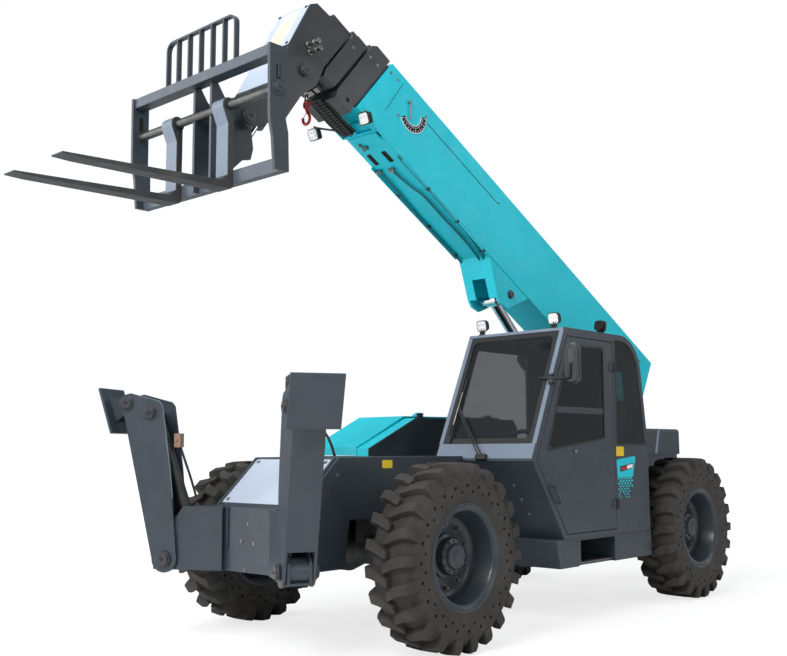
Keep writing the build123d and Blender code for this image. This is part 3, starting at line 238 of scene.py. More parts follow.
# ---- each look: its maker, the slot of a scene piece that wears it, its name, its colour and the rest ----
LOOKS = {
    "teal": (paint, "painted_body", "teal_paint", (0.0, 0.80, 0.87), 0.45, 0.0, 0.0),
    "slate": (paint, "painted_dark", "slate_paint", (0.195, 0.235, 0.27), 0.42, 0.08, 0.2),
    "boom_dark": (paint, "boom_steel", "boom_section_paint", (0.19, 0.205, 0.225), 0.4, 0.12, 0.2),
    "rim": (paint, "rim_paint", "rim_paint", (0.165, 0.205, 0.235), 0.38, 0.08, 0.25),
    # pale: the windscreen's pale trim, and painted highlights on lit edges and faces of the forks, the rear
    # box and the outriggers
    "pale": (paint, "painted_dark", "sill_paint", (0.465, 0.52, 0.59), 0.4, 0.08, 0.1),
    # a lighter slate that paints the highlight on the lit front faces of the carriage
    "edge": (paint, "painted_dark", "worn_edge", (0.30, 0.34, 0.385), 0.42, 0.1, 0.1),
    "cover": (paint, "painted_dark", "head_cover_paint", (0.74, 0.79, 0.86), 0.4, 0.05, 0.1),
    "faded": (plastic, "lamp_plastic", "faded_label", (0.90, 0.91, 0.72), 0.5),
    # an opaque dark sheet: the tint of the door glass, and painted shade for the dim cab behind it
    "tinted_pane_and_cab_shade": (plastic, "glass", "door_pane_dark", (0.05, 0.055, 0.06), 0.08),
    # teal darkened with painted shade, for the pipes that lie in the shade under the boom
    "shaded_pipe_teal": (paint, "painted_body", "pipe_paint", (0.05, 0.46, 0.49), 0.4, 0.1, 0.1),
    "shaft": (metal, "fork_steel", "shaft_steel", (0.46, 0.46, 0.46), 0.4),
    "brass": (paint, "fork_steel", "valve_block", (0.62, 0.50, 0.42), 0.5, 0.2, 0.0),
    # black for seams, print and seals, and as painted shade in holes, openings and slots
    "black_marks_and_hole_shade": (plastic, "trim_plastic", "hole_black", (0.03, 0.03, 0.03), 0.8),
    "mirror": (metal, "trim_plastic", "mirror_glass", (0.82, 0.84, 0.86), 0.04, 0.02),
    "lens": (plastic, "lamp_plastic", "lamp_lens", (0.86, 0.87, 0.88), 0.15),
    "iron": (paint, "axle_iron", "axle_paint", (0.17, 0.175, 0.18), 0.6, 0.35, 0.0, 0.3),
    "black": (paint, "cylinder_dark", "cylinder_paint", (0.13, 0.135, 0.14), 0.4, 0.15, 0.2),
    "chrome": (metal, "rod_chrome", "cylinder_chrome", (0.85, 0.86, 0.87), 0.12, 0.15),
    "steel": (metal, "fork_steel", "bolt_steel", (0.62, 0.62, 0.61), 0.35),
    "fork": (paint, "fork_steel", "fork_paint", (0.22, 0.225, 0.235), 0.5, 0.25, 0.0, 0.2),
    "tyre": (rubber, "tyre_rubber", "tyre_rubber", (0.15, 0.145, 0.14), srgb(0.28, 0.265, 0.255)),
    "hose": (plastic, "trim_plastic", "hose_rubber", (0.08, 0.08, 0.08), 0.55),
    "plastic": (plastic, "trim_plastic", "black_plastic", (0.10, 0.105, 0.11), 0.5),
    "fabric": (fabric, "seat_fabric", "seat_fabric", (0.10, 0.10, 0.11)),
    "glass": (glass, "glass", "cab_glass", (0.16, 0.18, 0.19)),
    "red": (paint, "painted_dark", "hook_red", (0.72, 0.10, 0.09), 0.4, 0.1, 0.2),
    "yellow": (plastic, "lamp_plastic", "label_yellow", (0.93, 0.78, 0.10), 0.45),
    "white": (plastic, "lamp_plastic", "label_white", (0.90, 0.91, 0.91), 0.4),
}
MATERIAL = {key: make(name, srgb(*colour), *rest) for key, (make, slot, name, colour, *rest) in LOOKS.items()}
LOOK_OF_SLOT = {
    "painted_body": "teal", "painted_dark": "slate", "boom_steel": "boom_dark",
    "axle_iron": "iron", "rod_chrome": "chrome", "cylinder_dark": "black", "fork_steel": "fork",
    "rim_paint": "rim", "tyre_rubber": "tyre", "cab_frame": "slate", "glass": "glass",
    "seat_fabric": "fabric", "trim_plastic": "plastic", "engine_iron": "iron", "lamp_plastic": "plastic",
}
SLOT_OF = {entry["node"]: entry["material_slot"] for entry in frame["record"]["subparts"]}
BODY_OF = {node: body for body, nodes in frame["record"]["behaviour"]["bodies"].items() for node in nodes}
for name, node in frame["nodes"].items():
    node.data.materials.clear()
    node.data.materials.append(MATERIAL[LOOK_OF_SLOT[SLOT_OF[name]]])


# ---- mesh building ----
def place(origin, x_axis, z_axis):
    """Matrix of a local frame from its origin, its X and its Z."""
    z = Vector(z_axis).normalized()
    x = Vector(x_axis)
    x = (x - z * x.dot(z)).normalized()
    y = z.cross(x)
    return Matrix.Translation(origin) @ Matrix((x, y, z)).transposed().to_4x4()


def skin(rows, count, closed=False):
    """Faces between rings of points that follow each other; closed joins the last ring to the first."""
    return [(k * count + i, k * count + (i + 1) % count, (k + 1) % rows * count + (i + 1) % count,
             (k + 1) % rows * count + i) for k in range(rows if closed else rows - 1) for i in range(count)]


class Shape:
    """Gathers closed forms in metres and turns them into one piece that rides on a body."""

    def __init__(self):
        self.mesh = bmesh.new()

    def faces(self, points, faces, matrix=Matrix()):
        made = [self.mesh.verts.new(matrix @ Vector(p)) for p in points]
        for face in faces:
            try:
                self.mesh.faces.new([made[i] for i in face])
            except ValueError:
                pass
        return self

    def prism(self, outline, depth, matrix=Matrix(), low=0.0, inset=0.0):
        """Outline in local X and Y, from low to low + depth along local Z."""
        count = len(outline)
        middle = Vector((sum(p[0] for p in outline) / count, sum(p[1] for p in outline) / count))
        top = [middle + (Vector(p) - middle) * (1 - inset) for p in outline] if inset else outline
        points = [(p[0], p[1], low) for p in outline] + [(p[0], p[1], low + depth) for p in top]
        faces = [tuple(reversed(range(count))), tuple(range(count, 2 * count))]
        return self.faces(points, faces + skin(2, count), matrix)

    def box(self, size, matrix=Matrix(), middle=(0, 0, 0)):
        x, y, z = (v / 2 for v in size)
        matrix = matrix @ Matrix.Translation(middle)
        return self.prism([(-x, -y), (x, -y), (x, y), (-x, y)], 2 * z, matrix, -z)

    def line(self, points, width, depth, matrix, low=0.0):
        """Flat line through points of a local plane, standing up from it."""
        for start, end in zip(points, points[1:]):
            way = Vector(end) - Vector(start)
            off = Vector((-way.y, way.x)).normalized() * width / 2
            corners = [Vector(start) - off, Vector(end) - off, Vector(end) + off, Vector(start) + off]
            self.prism([tuple(c) for c in corners], depth, matrix, low)
        return self

    def lathe(self, profile, matrix=Matrix(), segments=32, ring=True):
        """Profile as (radius, height along local Z), closed on the axis, as a ring, or left open."""
        points, rows = [], []
        for radius, height in profile:
            count = segments if radius else 1
            rows.append([len(points) + i % count for i in range(segments)])
            points += [polar(radius, 2 * math.pi * i / segments, height) for i in range(count)]
        pairs = list(zip(rows, rows[1:]))
        if ring and profile[0][0] and profile[-1][0]:
            pairs.append((rows[-1], rows[0]))
        faces = []
        for a, b in pairs:
            for i in range(segments):
                j = (i + 1) % segments
                face = tuple(dict.fromkeys((a[i], a[j], b[j], b[i])))
                if len(face) > 2:
                    faces.append(face)
        return self.faces(points, faces, matrix)

    def rod(self, radius, low, high, matrix, segments):
        return self.lathe([(0, low), (radius, low), (radius, high), (0, high)], matrix, segments)

    def bolt(self, origin, axis, radius, height, washer=True):
        matrix = place(origin, Vector(axis).orthogonal(), axis)
        if washer:
            self.rod(radius * 1.5, 0, radius * 0.22, matrix, 20)
        head = radius * 0.15
        self.lathe([(0, head), (radius, head), (radius, height * 0.85), (radius * 0.85, height), (0, height)],
                   matrix, 6)
        return self

    def pin(self, origin, axis, radius):
        """End of a pivot pin: collar, face and a small grease nipple."""
        height = 0.014
        matrix = place(origin, Vector(axis).orthogonal(), axis)
        self.lathe([(0, 0), (radius * 1.25, 0), (radius * 1.25, height * 0.6), (radius * 1.18, height * 0.75),
                    (radius, height * 0.75), (radius, height * 1.5), (radius * 0.92, height * 1.7),
                    (radius * 0.3, height * 1.7), (radius * 0.26, height * 1.45), (0, height * 1.45)],
                   matrix, 36)
        self.lathe([(0, 0), (0.006, 0), (0.006, height * 2.1), (0.003, height * 2.4), (0, height * 2.4)],
                   matrix, 10)
        return self

    def data(self, name):
        """The gathered forms as mesh data, with their normals outwards."""
        bmesh.ops.recalc_face_normals(self.mesh, faces=self.mesh.faces)
        data = bpy.data.meshes.new(name)
        self.mesh.to_mesh(data)
        self.mesh.free()
        return data

    def piece(self, name, body, look, bevel=0.0, slot=None):
        return dress(self.data(name), name, body, look, bevel)


def linked(name, data):
    thing = bpy.data.objects.new(name, data)
    bpy.context.scene.collection.objects.link(thing)
    return thing


def ride(name, data, body, look):
    """A piece in the scene, on its body."""
    piece = linked(name, data)
    data.materials.clear()
    data.materials.append(MATERIAL[look])
    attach(piece, body)
    return piece


def dress(data, name, body, look, bevel=0.0, sharp=38):
    """One piece with smooth faces; edges sharper than `sharp` degrees stay crisp or are bevelled."""
    piece = ride(name, data, body, look)
    data.shade_smooth()
    data.set_sharp_from_angle(angle=math.radians(sharp))
    if bevel:
        tool = piece.modifiers.new("bevel", "BEVEL")
        tool.width = bevel
        tool.segments = 2
        tool.limit_method = "ANGLE"
        tool.angle_limit = math.radians(sharp)
        tool.use_clamp_overlap = True
        even = piece.modifiers.new("even_shading", "WEIGHTED_NORMAL")
        even.keep_sharp = True
    return piece


def tube(name, body, look, points, radius, cyclic=False):
    """Round line through points with rounded corners, as a bevelled curve."""
    curve = bpy.data.curves.new(name, "CURVE")
    curve.dimensions = "3D"
    curve.bevel_depth = radius
    curve.bevel_resolution = 4
    curve.use_fill_caps = True
    line = curve.splines.new("NURBS")
    line.points.add(len(points) - 1)
    for point, where in zip(line.points, points):
        point.co = (*where, 1)
    line.order_u = 3
    line.use_endpoint_u = not cyclic
    line.use_cyclic_u = cyclic
    line.resolution_u = 8
    ride(name, curve, body, look)


def rounded(width, height, radius, steps=5):
    """Outline of a rounded rectangle round the origin."""
    points = []
    for cx, cy, start in ((1, 1, 0), (-1, 1, 90), (-1, -1, 180), (1, -1, 270)):
        for i in range(steps + 1):
            x, y = polar(radius, math.radians(start + 90 * i / steps))
            points.append((cx * (width / 2 - radius) + x, cy * (height / 2 - radius) + y))
    return points


def reworked(node, bevel):
    """The CAD node's own mesh with eased edges, shown in its place."""
    data = frame["nodes"][node].data.copy()
    mesh = bmesh.new()
    mesh.from_mesh(data)
    bmesh.ops.remove_doubles(mesh, verts=mesh.verts, dist=0.00002)
    bmesh.ops.dissolve_limit(mesh, angle_limit=math.radians(0.6), verts=mesh.verts, edges=mesh.edges)
    mesh.to_mesh(data)
    mesh.free()
    slot = SLOT_OF[node]
    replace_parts(dress(data, node + "_body", BODY_OF[node], LOOK_OF_SLOT[slot], bevel, 32), node)


# ---- CAD nodes shown with eased edges: node and bevel in metres ----
EASED = {
    "boom_base": 0.005, "boom_second": 0.004, "boom_third": 0.004, "boom_head": 0.003, "carriage": 0.002,
    "fork_left": 0.003, "fork_right": 0.003, "front_beam": 0.003, "frame": 0.003, "cab_shell": 0.004,
    "cab_door": 0.003, "side_boxes": 0.003, "hydraulic_tank": 0.003, "engine_housing": 0.002,
    "engine_cowl": 0.003, "leg_left": 0.003, "leg_right": 0.003, "leg_foot_left": 0.002,
    "leg_foot_right": 0.002, "boom_uprights": 0.003, "cab_seat": 0.01,
}


# ---- wheels ----
LUG_PAIRS = 22
SIDEWALL = (0.400, 0.510)   # radii of the flat band that carries the holes
HOLES = ((0.476, 0.0, 0.0125), (0.436, 0.5, 0.0105))     # radius, turn in pitches, size
HOLE_PITCH = math.radians(15)
HOLE_DEPTH = 0.030


def sidewall_cell(half):
    """One pitch of the sidewall: flat triangles round its two holes, and the cups behind them."""
    start, steps = -HOLE_PITCH / 4, 4
    arc = [start + HOLE_PITCH * i / steps for i in range(steps + 1)]
    outline = [(SIDEWALL[0], angle) for angle in arc] + [(SIDEWALL[1], angle) for angle in reversed(arc)]
    rims = [[Vector(polar(r, angle, half)) for r, angle in outline]]
    for radius, turn, size in HOLES:
        middle = Vector(polar(radius, turn * HOLE_PITCH, half))
        rims.append([middle + Vector(polar(size, math.radians(36 * i), 0)) for i in range(10)])
    points = [point for rim in rims for point in rim]
    faces = [tuple(face) for face in tessellate_polygon(rims)]
    first = len(rims[0])
    for rim in rims[1:]:
        deep = len(points)
        points += [point - UP * HOLE_DEPTH for point in rim]
        faces += [(first + i, first + (i + 1) % 10, deep + (i + 1) % 10, deep + i) for i in range(10)]
        faces.append(tuple(range(deep, deep + 10)))
        first += 10
    return points, faces


def tyre_mesh():
    """Carcass about local Z, with rings of holes in its sidewalls and two staggered rows of bent lugs."""
    low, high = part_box("tyre_rear_left")
    outer, half = (high.x - low.x) / 2, (high.y - low.y) / 2
    outer = math.sqrt(outer ** 2 - 0.065 ** 2)
    tread = outer - 0.044
    wall = [(SIDEWALL[1], half), (0.527, half - 0.003), (0.536, half - 0.012), (0.556, half - 0.030),
            (0.575, half - 0.046), (tread - 0.004, half - 0.075), (tread, half - 0.11)]
    lip = [(0.3265, 0.0), (0.3265, 0.150), (0.360, 0.171), (0.368, half - 0.013), (0.386, half - 0.006),
           (SIDEWALL[0], half)]
    whole = Shape()
    whole.lathe(wall + [(r, -z) for r, z in reversed(wall)], segments=96, ring=False)
    whole.lathe([(r, -z) for r, z in reversed(lip)] + lip[1:], segments=96, ring=False)
    points, faces = sidewall_cell(half)
    for side in (1, -1):
        for i in range(24):
            turn = Matrix.Rotation(HOLE_PITCH * i, 4, "Z") @ Matrix.Diagonal((1, 1, side, 1))
            whole.faces(points, faces, turn)
    bmesh.ops.remove_doubles(whole.mesh, verts=whole.mesh.verts, dist=0.00005)
    bmesh.ops.recalc_face_normals(whole.mesh, faces=whole.mesh.faces)
    # one lug along its length: across the tyre, round the tyre, half width, radius of its top, of its foot
    stations = [
        (half + 0.0005, -0.026, 0.036, 0.547, 0.520), (half + 0.0005, -0.026, 0.035, outer - 0.040, 0.520),
        (half - 0.020, -0.025, 0.035, outer - 0.004, 0.520), (half - 0.075, -0.018, 0.035, outer, 0.53),
        (0.055, 0.002, 0.034, outer, 0.555), (0.012, 0.026, 0.030, outer, 0.555),
        (-0.016, 0.040, 0.022, outer - 0.002, 0.555),
    ]
    for i in range(LUG_PAIRS):
        for side, turn in ((1, 0.0), (-1, 0.5)):
            base = 2 * math.pi * (i + turn) / LUG_PAIRS
            points = []
            for z, swing, wide, top, foot in stations:
                section = (foot, -wide - 0.012), (top, -wide), (top, wide), (foot, wide + 0.012)
                points += [polar(r, base + (swing + offset) / outer, side * z) for r, offset in section]
            last = 4 * (len(stations) - 1)
            whole.faces(points, [(3, 2, 1, 0), tuple(range(last, last + 4))] + skin(len(stations), 4))
    return whole.data("tyre")


def rim_mesh():
    """Deep dished rim with its flanges, disc and planetary hub, and its nuts, outside towards local +Z."""
    profile = [
        (0.356, -0.172), (0.356, -0.169), (0.3255, -0.150), (0.3255, 0.150), (0.356, 0.1695), (0.3585, 0.172),
        (0.355, 0.1735), (0.347, 0.173), (0.338, 0.164), (0.327, 0.157), (0.317, 0.160), (0.310, 0.159),
        (0.303, 0.146), (0.299, 0.090), (0.292, 0.076), (0.289, 0.020), (0.278, -0.008), (0.262, -0.022),
        (0.215, -0.026), (0.165, -0.026), (0.165, -0.045), (0.262, -0.045), (0.300, -0.030), (0.305, 0.030),
        (0.313, -0.145), (0.340, -0.172),
    ]
    shape = Shape().lathe(profile, segments=96)
    hub = [(0, 0.095), (0.030, 0.095), (0.034, 0.090), (0.055, 0.089), (0.060, 0.093), (0.078, 0.093),
           (0.086, 0.086), (0.090, 0.070), (0.105, 0.066), (0.118, 0.060), (0.124, 0.045), (0.126, 0.010),
           (0.148, 0.004), (0.150, -0.02), (0.166, -0.022), (0.166, -0.06), (0, -0.06)]
    shape.lathe(hub, segments=64)
    for i in range(12):
        shape.bolt(polar(0.105, 2 * math.pi * i / 12, 0.064), UP, 0.008, 0.010, False)
    nuts = Shape()
    for i in range(10):
        spot = polar(0.212, 2 * math.pi * (i + 0.5) / 10, -0.026)
        nuts.bolt(spot, UP, 0.016, 0.024)
        nuts.lathe([(0, 0), (0.009, 0), (0.009, 0.036), (0.007, 0.038), (0, 0.038)],
                   place(spot, FORWARD, UP), 14)
    return shape.data("rim"), nuts.data("nuts")


def wheels():
    tyre, (rim, nuts) = tyre_mesh(), rim_mesh()
    for end in ("front", "rear"):
        for side, _, way in SIDES:
            low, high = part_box(f"tyre_{end}_{side}")
            spot = place((low + high) / 2, FORWARD, way)
            body = f"wheel_{end}_{side}"
            for kind, source, look in (("tyre", tyre, "tyre"), ("rim", rim, "rim"), ("nuts", nuts, "steel")):
                data = source.copy()
                data.transform(spot)
                piece = dress(data, f"{body}_{kind}", body, look)
                if kind != "nuts":
                    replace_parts(piece, f"{kind}_{end}_{side}")


# ---- flat frames on the machine's faces ----
def left_face(x, y, z):
    """Frame on a face that looks left: local X forward, local Y down."""
    return place(at(x, y, z), FORWARD, LEFT)


def front_face(x, y, z):
    """Frame on a face that looks forward: local X to the left, local Y up."""
    return place(at(x, y, z), LEFT, FORWARD)


def level(x, y, z):
    """Frame on a level face: local X forward, local Y to the left."""
    return place(at(x, y, z), FORWARD, UP)


def mm(*points):
    return [(a / 1000, b / 1000) for a, b in points]


BOOM_LEFT, BOOM_RIGHT = BOOM_Y + 180, BOOM_Y - 180
BOOM_SIDE = place(on_boom(0, 0, BOOM_LEFT), ALONG, LEFT)    # local Y is down across the boom
BOOM_UNDER = place(on_boom(0, 0), ALONG, -ACROSS)           # local Y is to the right
CAB_LEFT, FRAME_LEFT = 1120, 450                            # Y of their left faces
SHAFT_X, SHAFT_Z = 4690, 3670                               # the shaft that carries the forks
CARRIAGE_LOW, CARRIAGE_HIGH = 3130, 3955
LAMP_FACING = Vector((0.93, 0.1, -0.34))


def on_side(*points):
    """Places on the boom's left face, from millimetres along it and across it."""
    return mm(*((s, -h) for s, h in points))


def under(s, y, out=0.0):
    """A place on the boom's underside, `out` metres off it."""
    return s / 1000, (BOOM_Y - y) / 1000, out


def bolts(name, body, spots, radius, look="steel"):
    heads = Shape()
    for where, axis in spots:
        heads.bolt(where, axis, radius, radius * 0.9)
    heads.piece(name, body, look)


def boxes(name, body, look, rows, bevel=0.0):
    """One piece of boxes, from rows of a size, a frame and the middle in that frame."""
    shape = Shape()
    for row in rows:
        shape.box(*row)
    shape.piece(name, body, look, bevel)


def label(name, wide, tall, face):
    Shape().prism(rounded(wide, tall, 0.008), 0.0012, face).piece(name, "chassis", "yellow")


def lamp_head(case, lens, spot, rim, back, fins, pane, bulbs):
    """Finned square lamp housing; its pale pane with four domed bulbs goes to `lens`.

    Each row begins with a size and a corner radius: then the rim's depth; the back's depth, taper and
    overlap. The fins give their length, depth, pitch and distance behind the face.
    """
    size, corner, depth = rim
    case.prism(rounded(size, size, corner), depth, spot, -depth)
    size, corner, length, taper, overlap = back
    case.prism(rounded(size, size, corner), length, spot, overlap - depth - length, taper)
    long, deep, pitch, behind = fins
    for i in range(-3, 4):
        case.box((0.004, long, deep), spot, (i * pitch, 0, -behind))
    if lens:
        lens.prism(rounded(pane[0], pane[0], pane[1]), 0.003, spot, -0.001)
        for i in (-bulbs, bulbs):
            for j in (-bulbs, bulbs):
                lens.lathe([(0, 0.002), (0.016, 0.002), (0.012, 0.005), (0, 0.006)],
                           spot @ Matrix.Translation((i, j, 0)), 16)


def boom_lamp(name, where, foot):
    """Work lamp on a straight bracket that ends in a bolt."""
    case, lens = Shape(), Shape()
    spot = place(where, LEFT, LAMP_FACING)
    lamp_head(case, lens, spot, (0.100, 0.020, 0.018), (0.092, 0.020, 0.040, 0.25, 0.0),
              (0.080, 0.030, 0.011, 0.052), (0.084, 0.015), 0.020)
    case.box((0.040, 0.006, 0.006), spot, (0, 0, -0.03))
    start = where - LAMP_FACING.normalized() * 0.035
    way = foot - start
    case.box((0.028, 0.008, way.length), place(start, LEFT, way), (0, 0, way.length / 2))
    case.piece(name, "boom_base", "plastic", 0.0015)
    lens.piece(name + "_lens", "boom_base", "lens")
    Shape().bolt(foot + UP * 0.002, UP, 0.009, 0.010).piece(name + "_bolt", "boom_base", "steel")


def dial():
    """Angle dial on the boom's left side, with its hanging pointer."""
    face = left_face(2690, BOOM_LEFT + 1, 4130)
    angles = [math.radians(21 + 159 * i / 28) for i in range(29)]
    for name, inner, outer, depth, low, look in (("rim", 0.100, 0.166, 0.003, 0.0, "white"),
                                                 ("face", 0.106, 0.160, 0.0022, 0.002, "black_marks_and_hole_shade")):
        band = [polar(outer, a) for a in angles] + [polar(inner, a) for a in reversed(angles)]
        Shape().prism(band, depth, face, low).piece(f"dial_{name}", "boom_base", look)
    ticks = Shape().line([polar(0.120, a) for a in angles[1:-1]], 0.003, 0.001, face, 0.004)
    for i in range(13):
        a = math.radians(26 + 149 * i / 12)
        ticks.line([polar(0.142 if i % 2 else 0.132, a), polar(0.156, a)], 0.004, 0.001, face, 0.004)
    ticks.piece("dial_ticks", "boom_base", "white")
    pointer = Shape().box((0.010, 0.150, 0.006), left_face(2738, BOOM_LEFT, 4140), (0, 0, 0.014))
    pointer.lathe([(0, 0.004), (0.016, 0.004), (0.016, 0.020), (0.010, 0.024), (0, 0.024)],
                  left_face(2738, BOOM_LEFT, 4216), 20)
    pointer.piece("dial_pointer", "boom_base", "steel", 0.001)


def boom_sides():
    """Seams, welds and bolts of the boom's base section."""
    marks = Shape().line(on_side((-273, 472), (-1378, 496), (-1403, 522)), 0.007, 0.0012, BOOM_SIDE)
    marks.line(on_side((120, 552), (171, 204)), 0.004, 0.001, BOOM_SIDE)
    marks.piece("boom_seam", "boom_base", "black_marks_and_hole_shade")
    welds = Shape().line(on_side((-261, 599), (-235, 500)), 0.008, 0.002, BOOM_SIDE)
    welds.line(on_side((-45, 170), (5, 8)), 0.008, 0.002, BOOM_SIDE)
    welds.line(on_side((-107, 173), (-161, 177), (-265, 167)), 0.005, 0.0015, BOOM_SIDE)
    for _, sign, way in SIDES:
        welds.line(mm((-200, -4 * sign), (-1480, -4 * sign)), 0.010, 0.003,
                   place(on_boom(0, 0, BOOM_Y + sign * 180), ALONG, way))
    welds.piece("boom_welds", "boom_base", "teal", 0.001)
    dial()
    ends = ((270, 535), (180, 542), (-4192, 594))
    beside_dial = [(at(x, BOOM_LEFT, z), LEFT) for x, z in ((2872, 4078), (2520, 4152))]
    for name, side, way, more in (("", BOOM_LEFT, LEFT, beside_dial), ("_right", BOOM_RIGHT, RIGHT, [])):
        spots = [(on_boom(s, h, side), way) for s, h in ends]
        bolts("boom_side_bolts" + name, "boom_base", spots + more, 0.009)


def boom_underside():
    """Frames beside the mouth, openings shown as black sheets of painted shade, clamps, pipes, lug pins and
    lamps.
    """
    frames = Shape().box((0.10, 0.30, 0.012), BOOM_UNDER, (0.10, 0, 0.004))
    for y0, y1 in ((-92, 92), (-252, -168)):
        for s in (190, 296):
            frames.box((0.012, (y1 - y0) / 1000, 0.045), BOOM_UNDER, under(s, (y0 + y1) / 2, 0.012))
        for y in (y0, y1):
            frames.box((0.118, 0.010, 0.045), BOOM_UNDER, under(243, y, 0.012))
    for y in (96, -256):
        frames.box((1.28, 0.008, 0.028), BOOM_UNDER, under(-830, y, 0.010))
    frames.piece("boom_under_frames", "boom_base", "teal", 0.0015)
    holes = Shape()
    for s, y, long, wide in ((-120, -187, 0.130, 0.046), (-125, -25, 0.130, 0.050), (52, -152, 0.100, 0.052),
                             (120, 40, 0.060, 0.090)):
        # painted shade: flat black sheets stand for the shaded inside of each opening
        holes.prism(rounded(long, wide, 0.010), 0.0015, BOOM_UNDER @ Matrix.Translation(under(s, y)))
    holes.piece("boom_under_openings", "boom_base", "black_marks_and_hole_shade")
    fittings = Shape()
    for s, y in ((-250, -219), (-261, -83), (40, -130), (20, -160), (70, -165)):
        fittings.box((0.030, 0.055 if s < 0 else 0.018, 0.030), BOOM_UNDER, under(s, y, 0.014))
        fittings.bolt(on_boom(s, -30, y), -ACROSS, 0.008, 0.007)
    fittings.piece("boom_under_clamps", "boom_base", "steel", 0.002)
    # the pipes wear teal darkened with painted shade, as they lie in the shade under the boom
    for i, points in enumerate((
            [(-140, 90), (-600, 92), (-1180, 90), (-1380, 60), (-1632, 0)],
            [(-250, -83), (-486, -53), (-610, 2), (-839, -8), (-1326, 10), (-1560, -30)],
            [(-245, -210), (-472, -205), (-767, -236), (-1303, -231), (-1631, -232)])):
        tube(f"boom_pipe_{i}", "boom_base", "shaded_pipe_teal", [on_boom(s, -16, y) for s, y in points], 0.010)
    boxes("boom_pipe_straps", "boom_base", "plastic",
          [((0.026, 0.034, 0.022), BOOM_UNDER, under(s, y, 0.014)) for s in (-560, -1000, -1420)
           for y in (90, -232)], 0.002)
    pins = Shape()
    for _, sign, way in SIDES:
        pins.pin(on_boom(-1935, -129, BOOM_Y + sign * 172), way, 0.032)
    pins.piece("boom_lug_pins", "boom_base", "boom_dark", 0.001)
    hanger = at(3312, -430, 3985)
    boom_lamp("boom_lamp_left", at(3298, 118, 3938), at(3262, 104, 4008))
    boom_lamp("boom_lamp_right", at(3331, -430, 3919), hanger)
    tube("boom_lamp_hanger", "boom_base", "boom_dark",
         [on_boom(250, 12, -256), on_boom(300, -4, -330), hanger], 0.009)


def mouth_details():
    """Collar bolts, and the hose carriers, hoses and fittings under the sliding sections."""
    for side, way in ((BOOM_LEFT, LEFT), (BOOM_RIGHT, RIGHT)):
        bolts(f"second_collar_bolts_{side}", "boom_second",
              [(on_boom(s, h, side), way) for s, h in ((515, 464), (422, 466))], 0.010)
        bolts(f"third_collar_bolt_{side}", "boom_third", [(on_boom(695, 392, side), way)], 0.010)
        # painted shade: a black disc stands for the shaded inside of the hole
        hole = Shape().rod(0.019, 0, 0.0015, place(on_boom(535, -23, side), ALONG, way), 24)
        hole.piece(f"collar_hole_{side}", "boom_second", "black_marks_and_hole_shade")
    chain = [((0.024, 0.046, 0.040), BOOM_UNDER, under(275 + i * 30, y, 0.090))
             for i in range(14) for y in (-62, -118)]
    chain.append(((0.42, 0.012, 0.030), BOOM_UNDER, (0.47, 0.010, 0.090)))
    boxes("hose_chain", "boom_second", "hose", chain, 0.003)
    for i, y in enumerate((-20, -150, -172)):
        tube(f"mouth_hose_{i}", "boom_second", "hose",
             [on_boom(655, -84, y), on_boom(560, -92, y), on_boom(440, -95, y - 6), on_boom(330, -92, y),
              on_boom(270, -80, y)], 0.010)
    boxes("mouth_fittings", "boom_third", "steel",
          [((size, size, size * 0.8), place(on_boom(s, h, y), ALONG, ACROSS)) for s, h, y, size in
           ((742, -62, -30, 0.05), (735, -70, -95, 0.045), (760, -55, -150, 0.055))], 0.004)


def hook():
    """Lifting hook with its latch, on an eye and a shackle, in the plane across the machine."""
    def hang(y, z):
        return at(3722, BOOM_Y + y, 4052 + z)

    tube("hook_shackle", "boom_third", "steel",
         [hang(16, -45), hang(20, -12), hang(0, 22), hang(-20, -12), hang(-16, -45)], 0.008)
    ring = [hang(y, z - 62) for y, z in (polar(30, 2 * math.pi * i / 10) for i in range(10))]
    tube("hook_eye", "boom_third", "red", ring, 0.010, cyclic=True)
    claw = [hang(y, z) for y, z in ((0, -90), (2, -118), (26, -142), (40, -172), (30, -206), (0, -220),
                                    (-30, -208), (-42, -180), (-40, -162))]
    tube("hook_claw", "boom_third", "red", claw, 0.012)
    tube("hook_latch", "boom_third", "steel", [claw[1], hang(-16, -145), claw[-1]], 0.003)


def head_details():
    """Cover plates, couplings, pins and hoses of the boom's head."""
    boxes("head_cover", "boom_head", "cover",
          [((0.345, 0.430, 0.006), place(on_boom(1199, 130), LEFT, ALONG)),
           ((0.345, 0.300, 0.006), place(on_boom(1200, -340), LEFT, ALONG))], 0.001)
    Shape().prism(rounded(0.17, 0.36, 0.01), 0.001, place(on_boom(1202, 130), LEFT, ALONG)).piece(
        "head_label", "boom_head", "faded")
    bolts("head_cover_bolts", "boom_head",
          [(on_boom(1202, h, BOOM_Y + y), ALONG) for h in (325, -65) for y in (-150, 150)], 0.009, "plastic")
    nipple = [(0, 0), (0.026, 0), (0.026, 0.012), (0.019, 0.014), (0.019, 0.050), (0.022, 0.052),
              (0.022, 0.080), (0.017, 0.083), (0.017, 0.105), (0.021, 0.108), (0.021, 0.128), (0, 0.130)]
    for i, (x, z) in enumerate(((3878, 4371), (3859, 4320))):
        Shape().lathe(nipple, left_face(x, BOOM_LEFT, z), 28).piece(
            f"head_coupling_{i}", "boom_head", "steel", 0.001)
    pins = Shape()
    for _, sign, way in SIDES:
        pins.pin(at(3914, BOOM_Y + sign * 192, 4159), way, 0.036)
        pins.pin(at(4440, BOOM_Y + sign * 194, 3680), way, 0.046)
    pins.piece("head_pins", "boom_head", "boom_dark", 0.001)
    for i, y in enumerate((-40, -120)):
        way = ((905, -40), (960, -110), (1010, -60), (1030, 10))
        tube(f"tilt_hose_{i}", "boom_head", "hose", [on_boom(s, h, y) for s, h in way], 0.010)


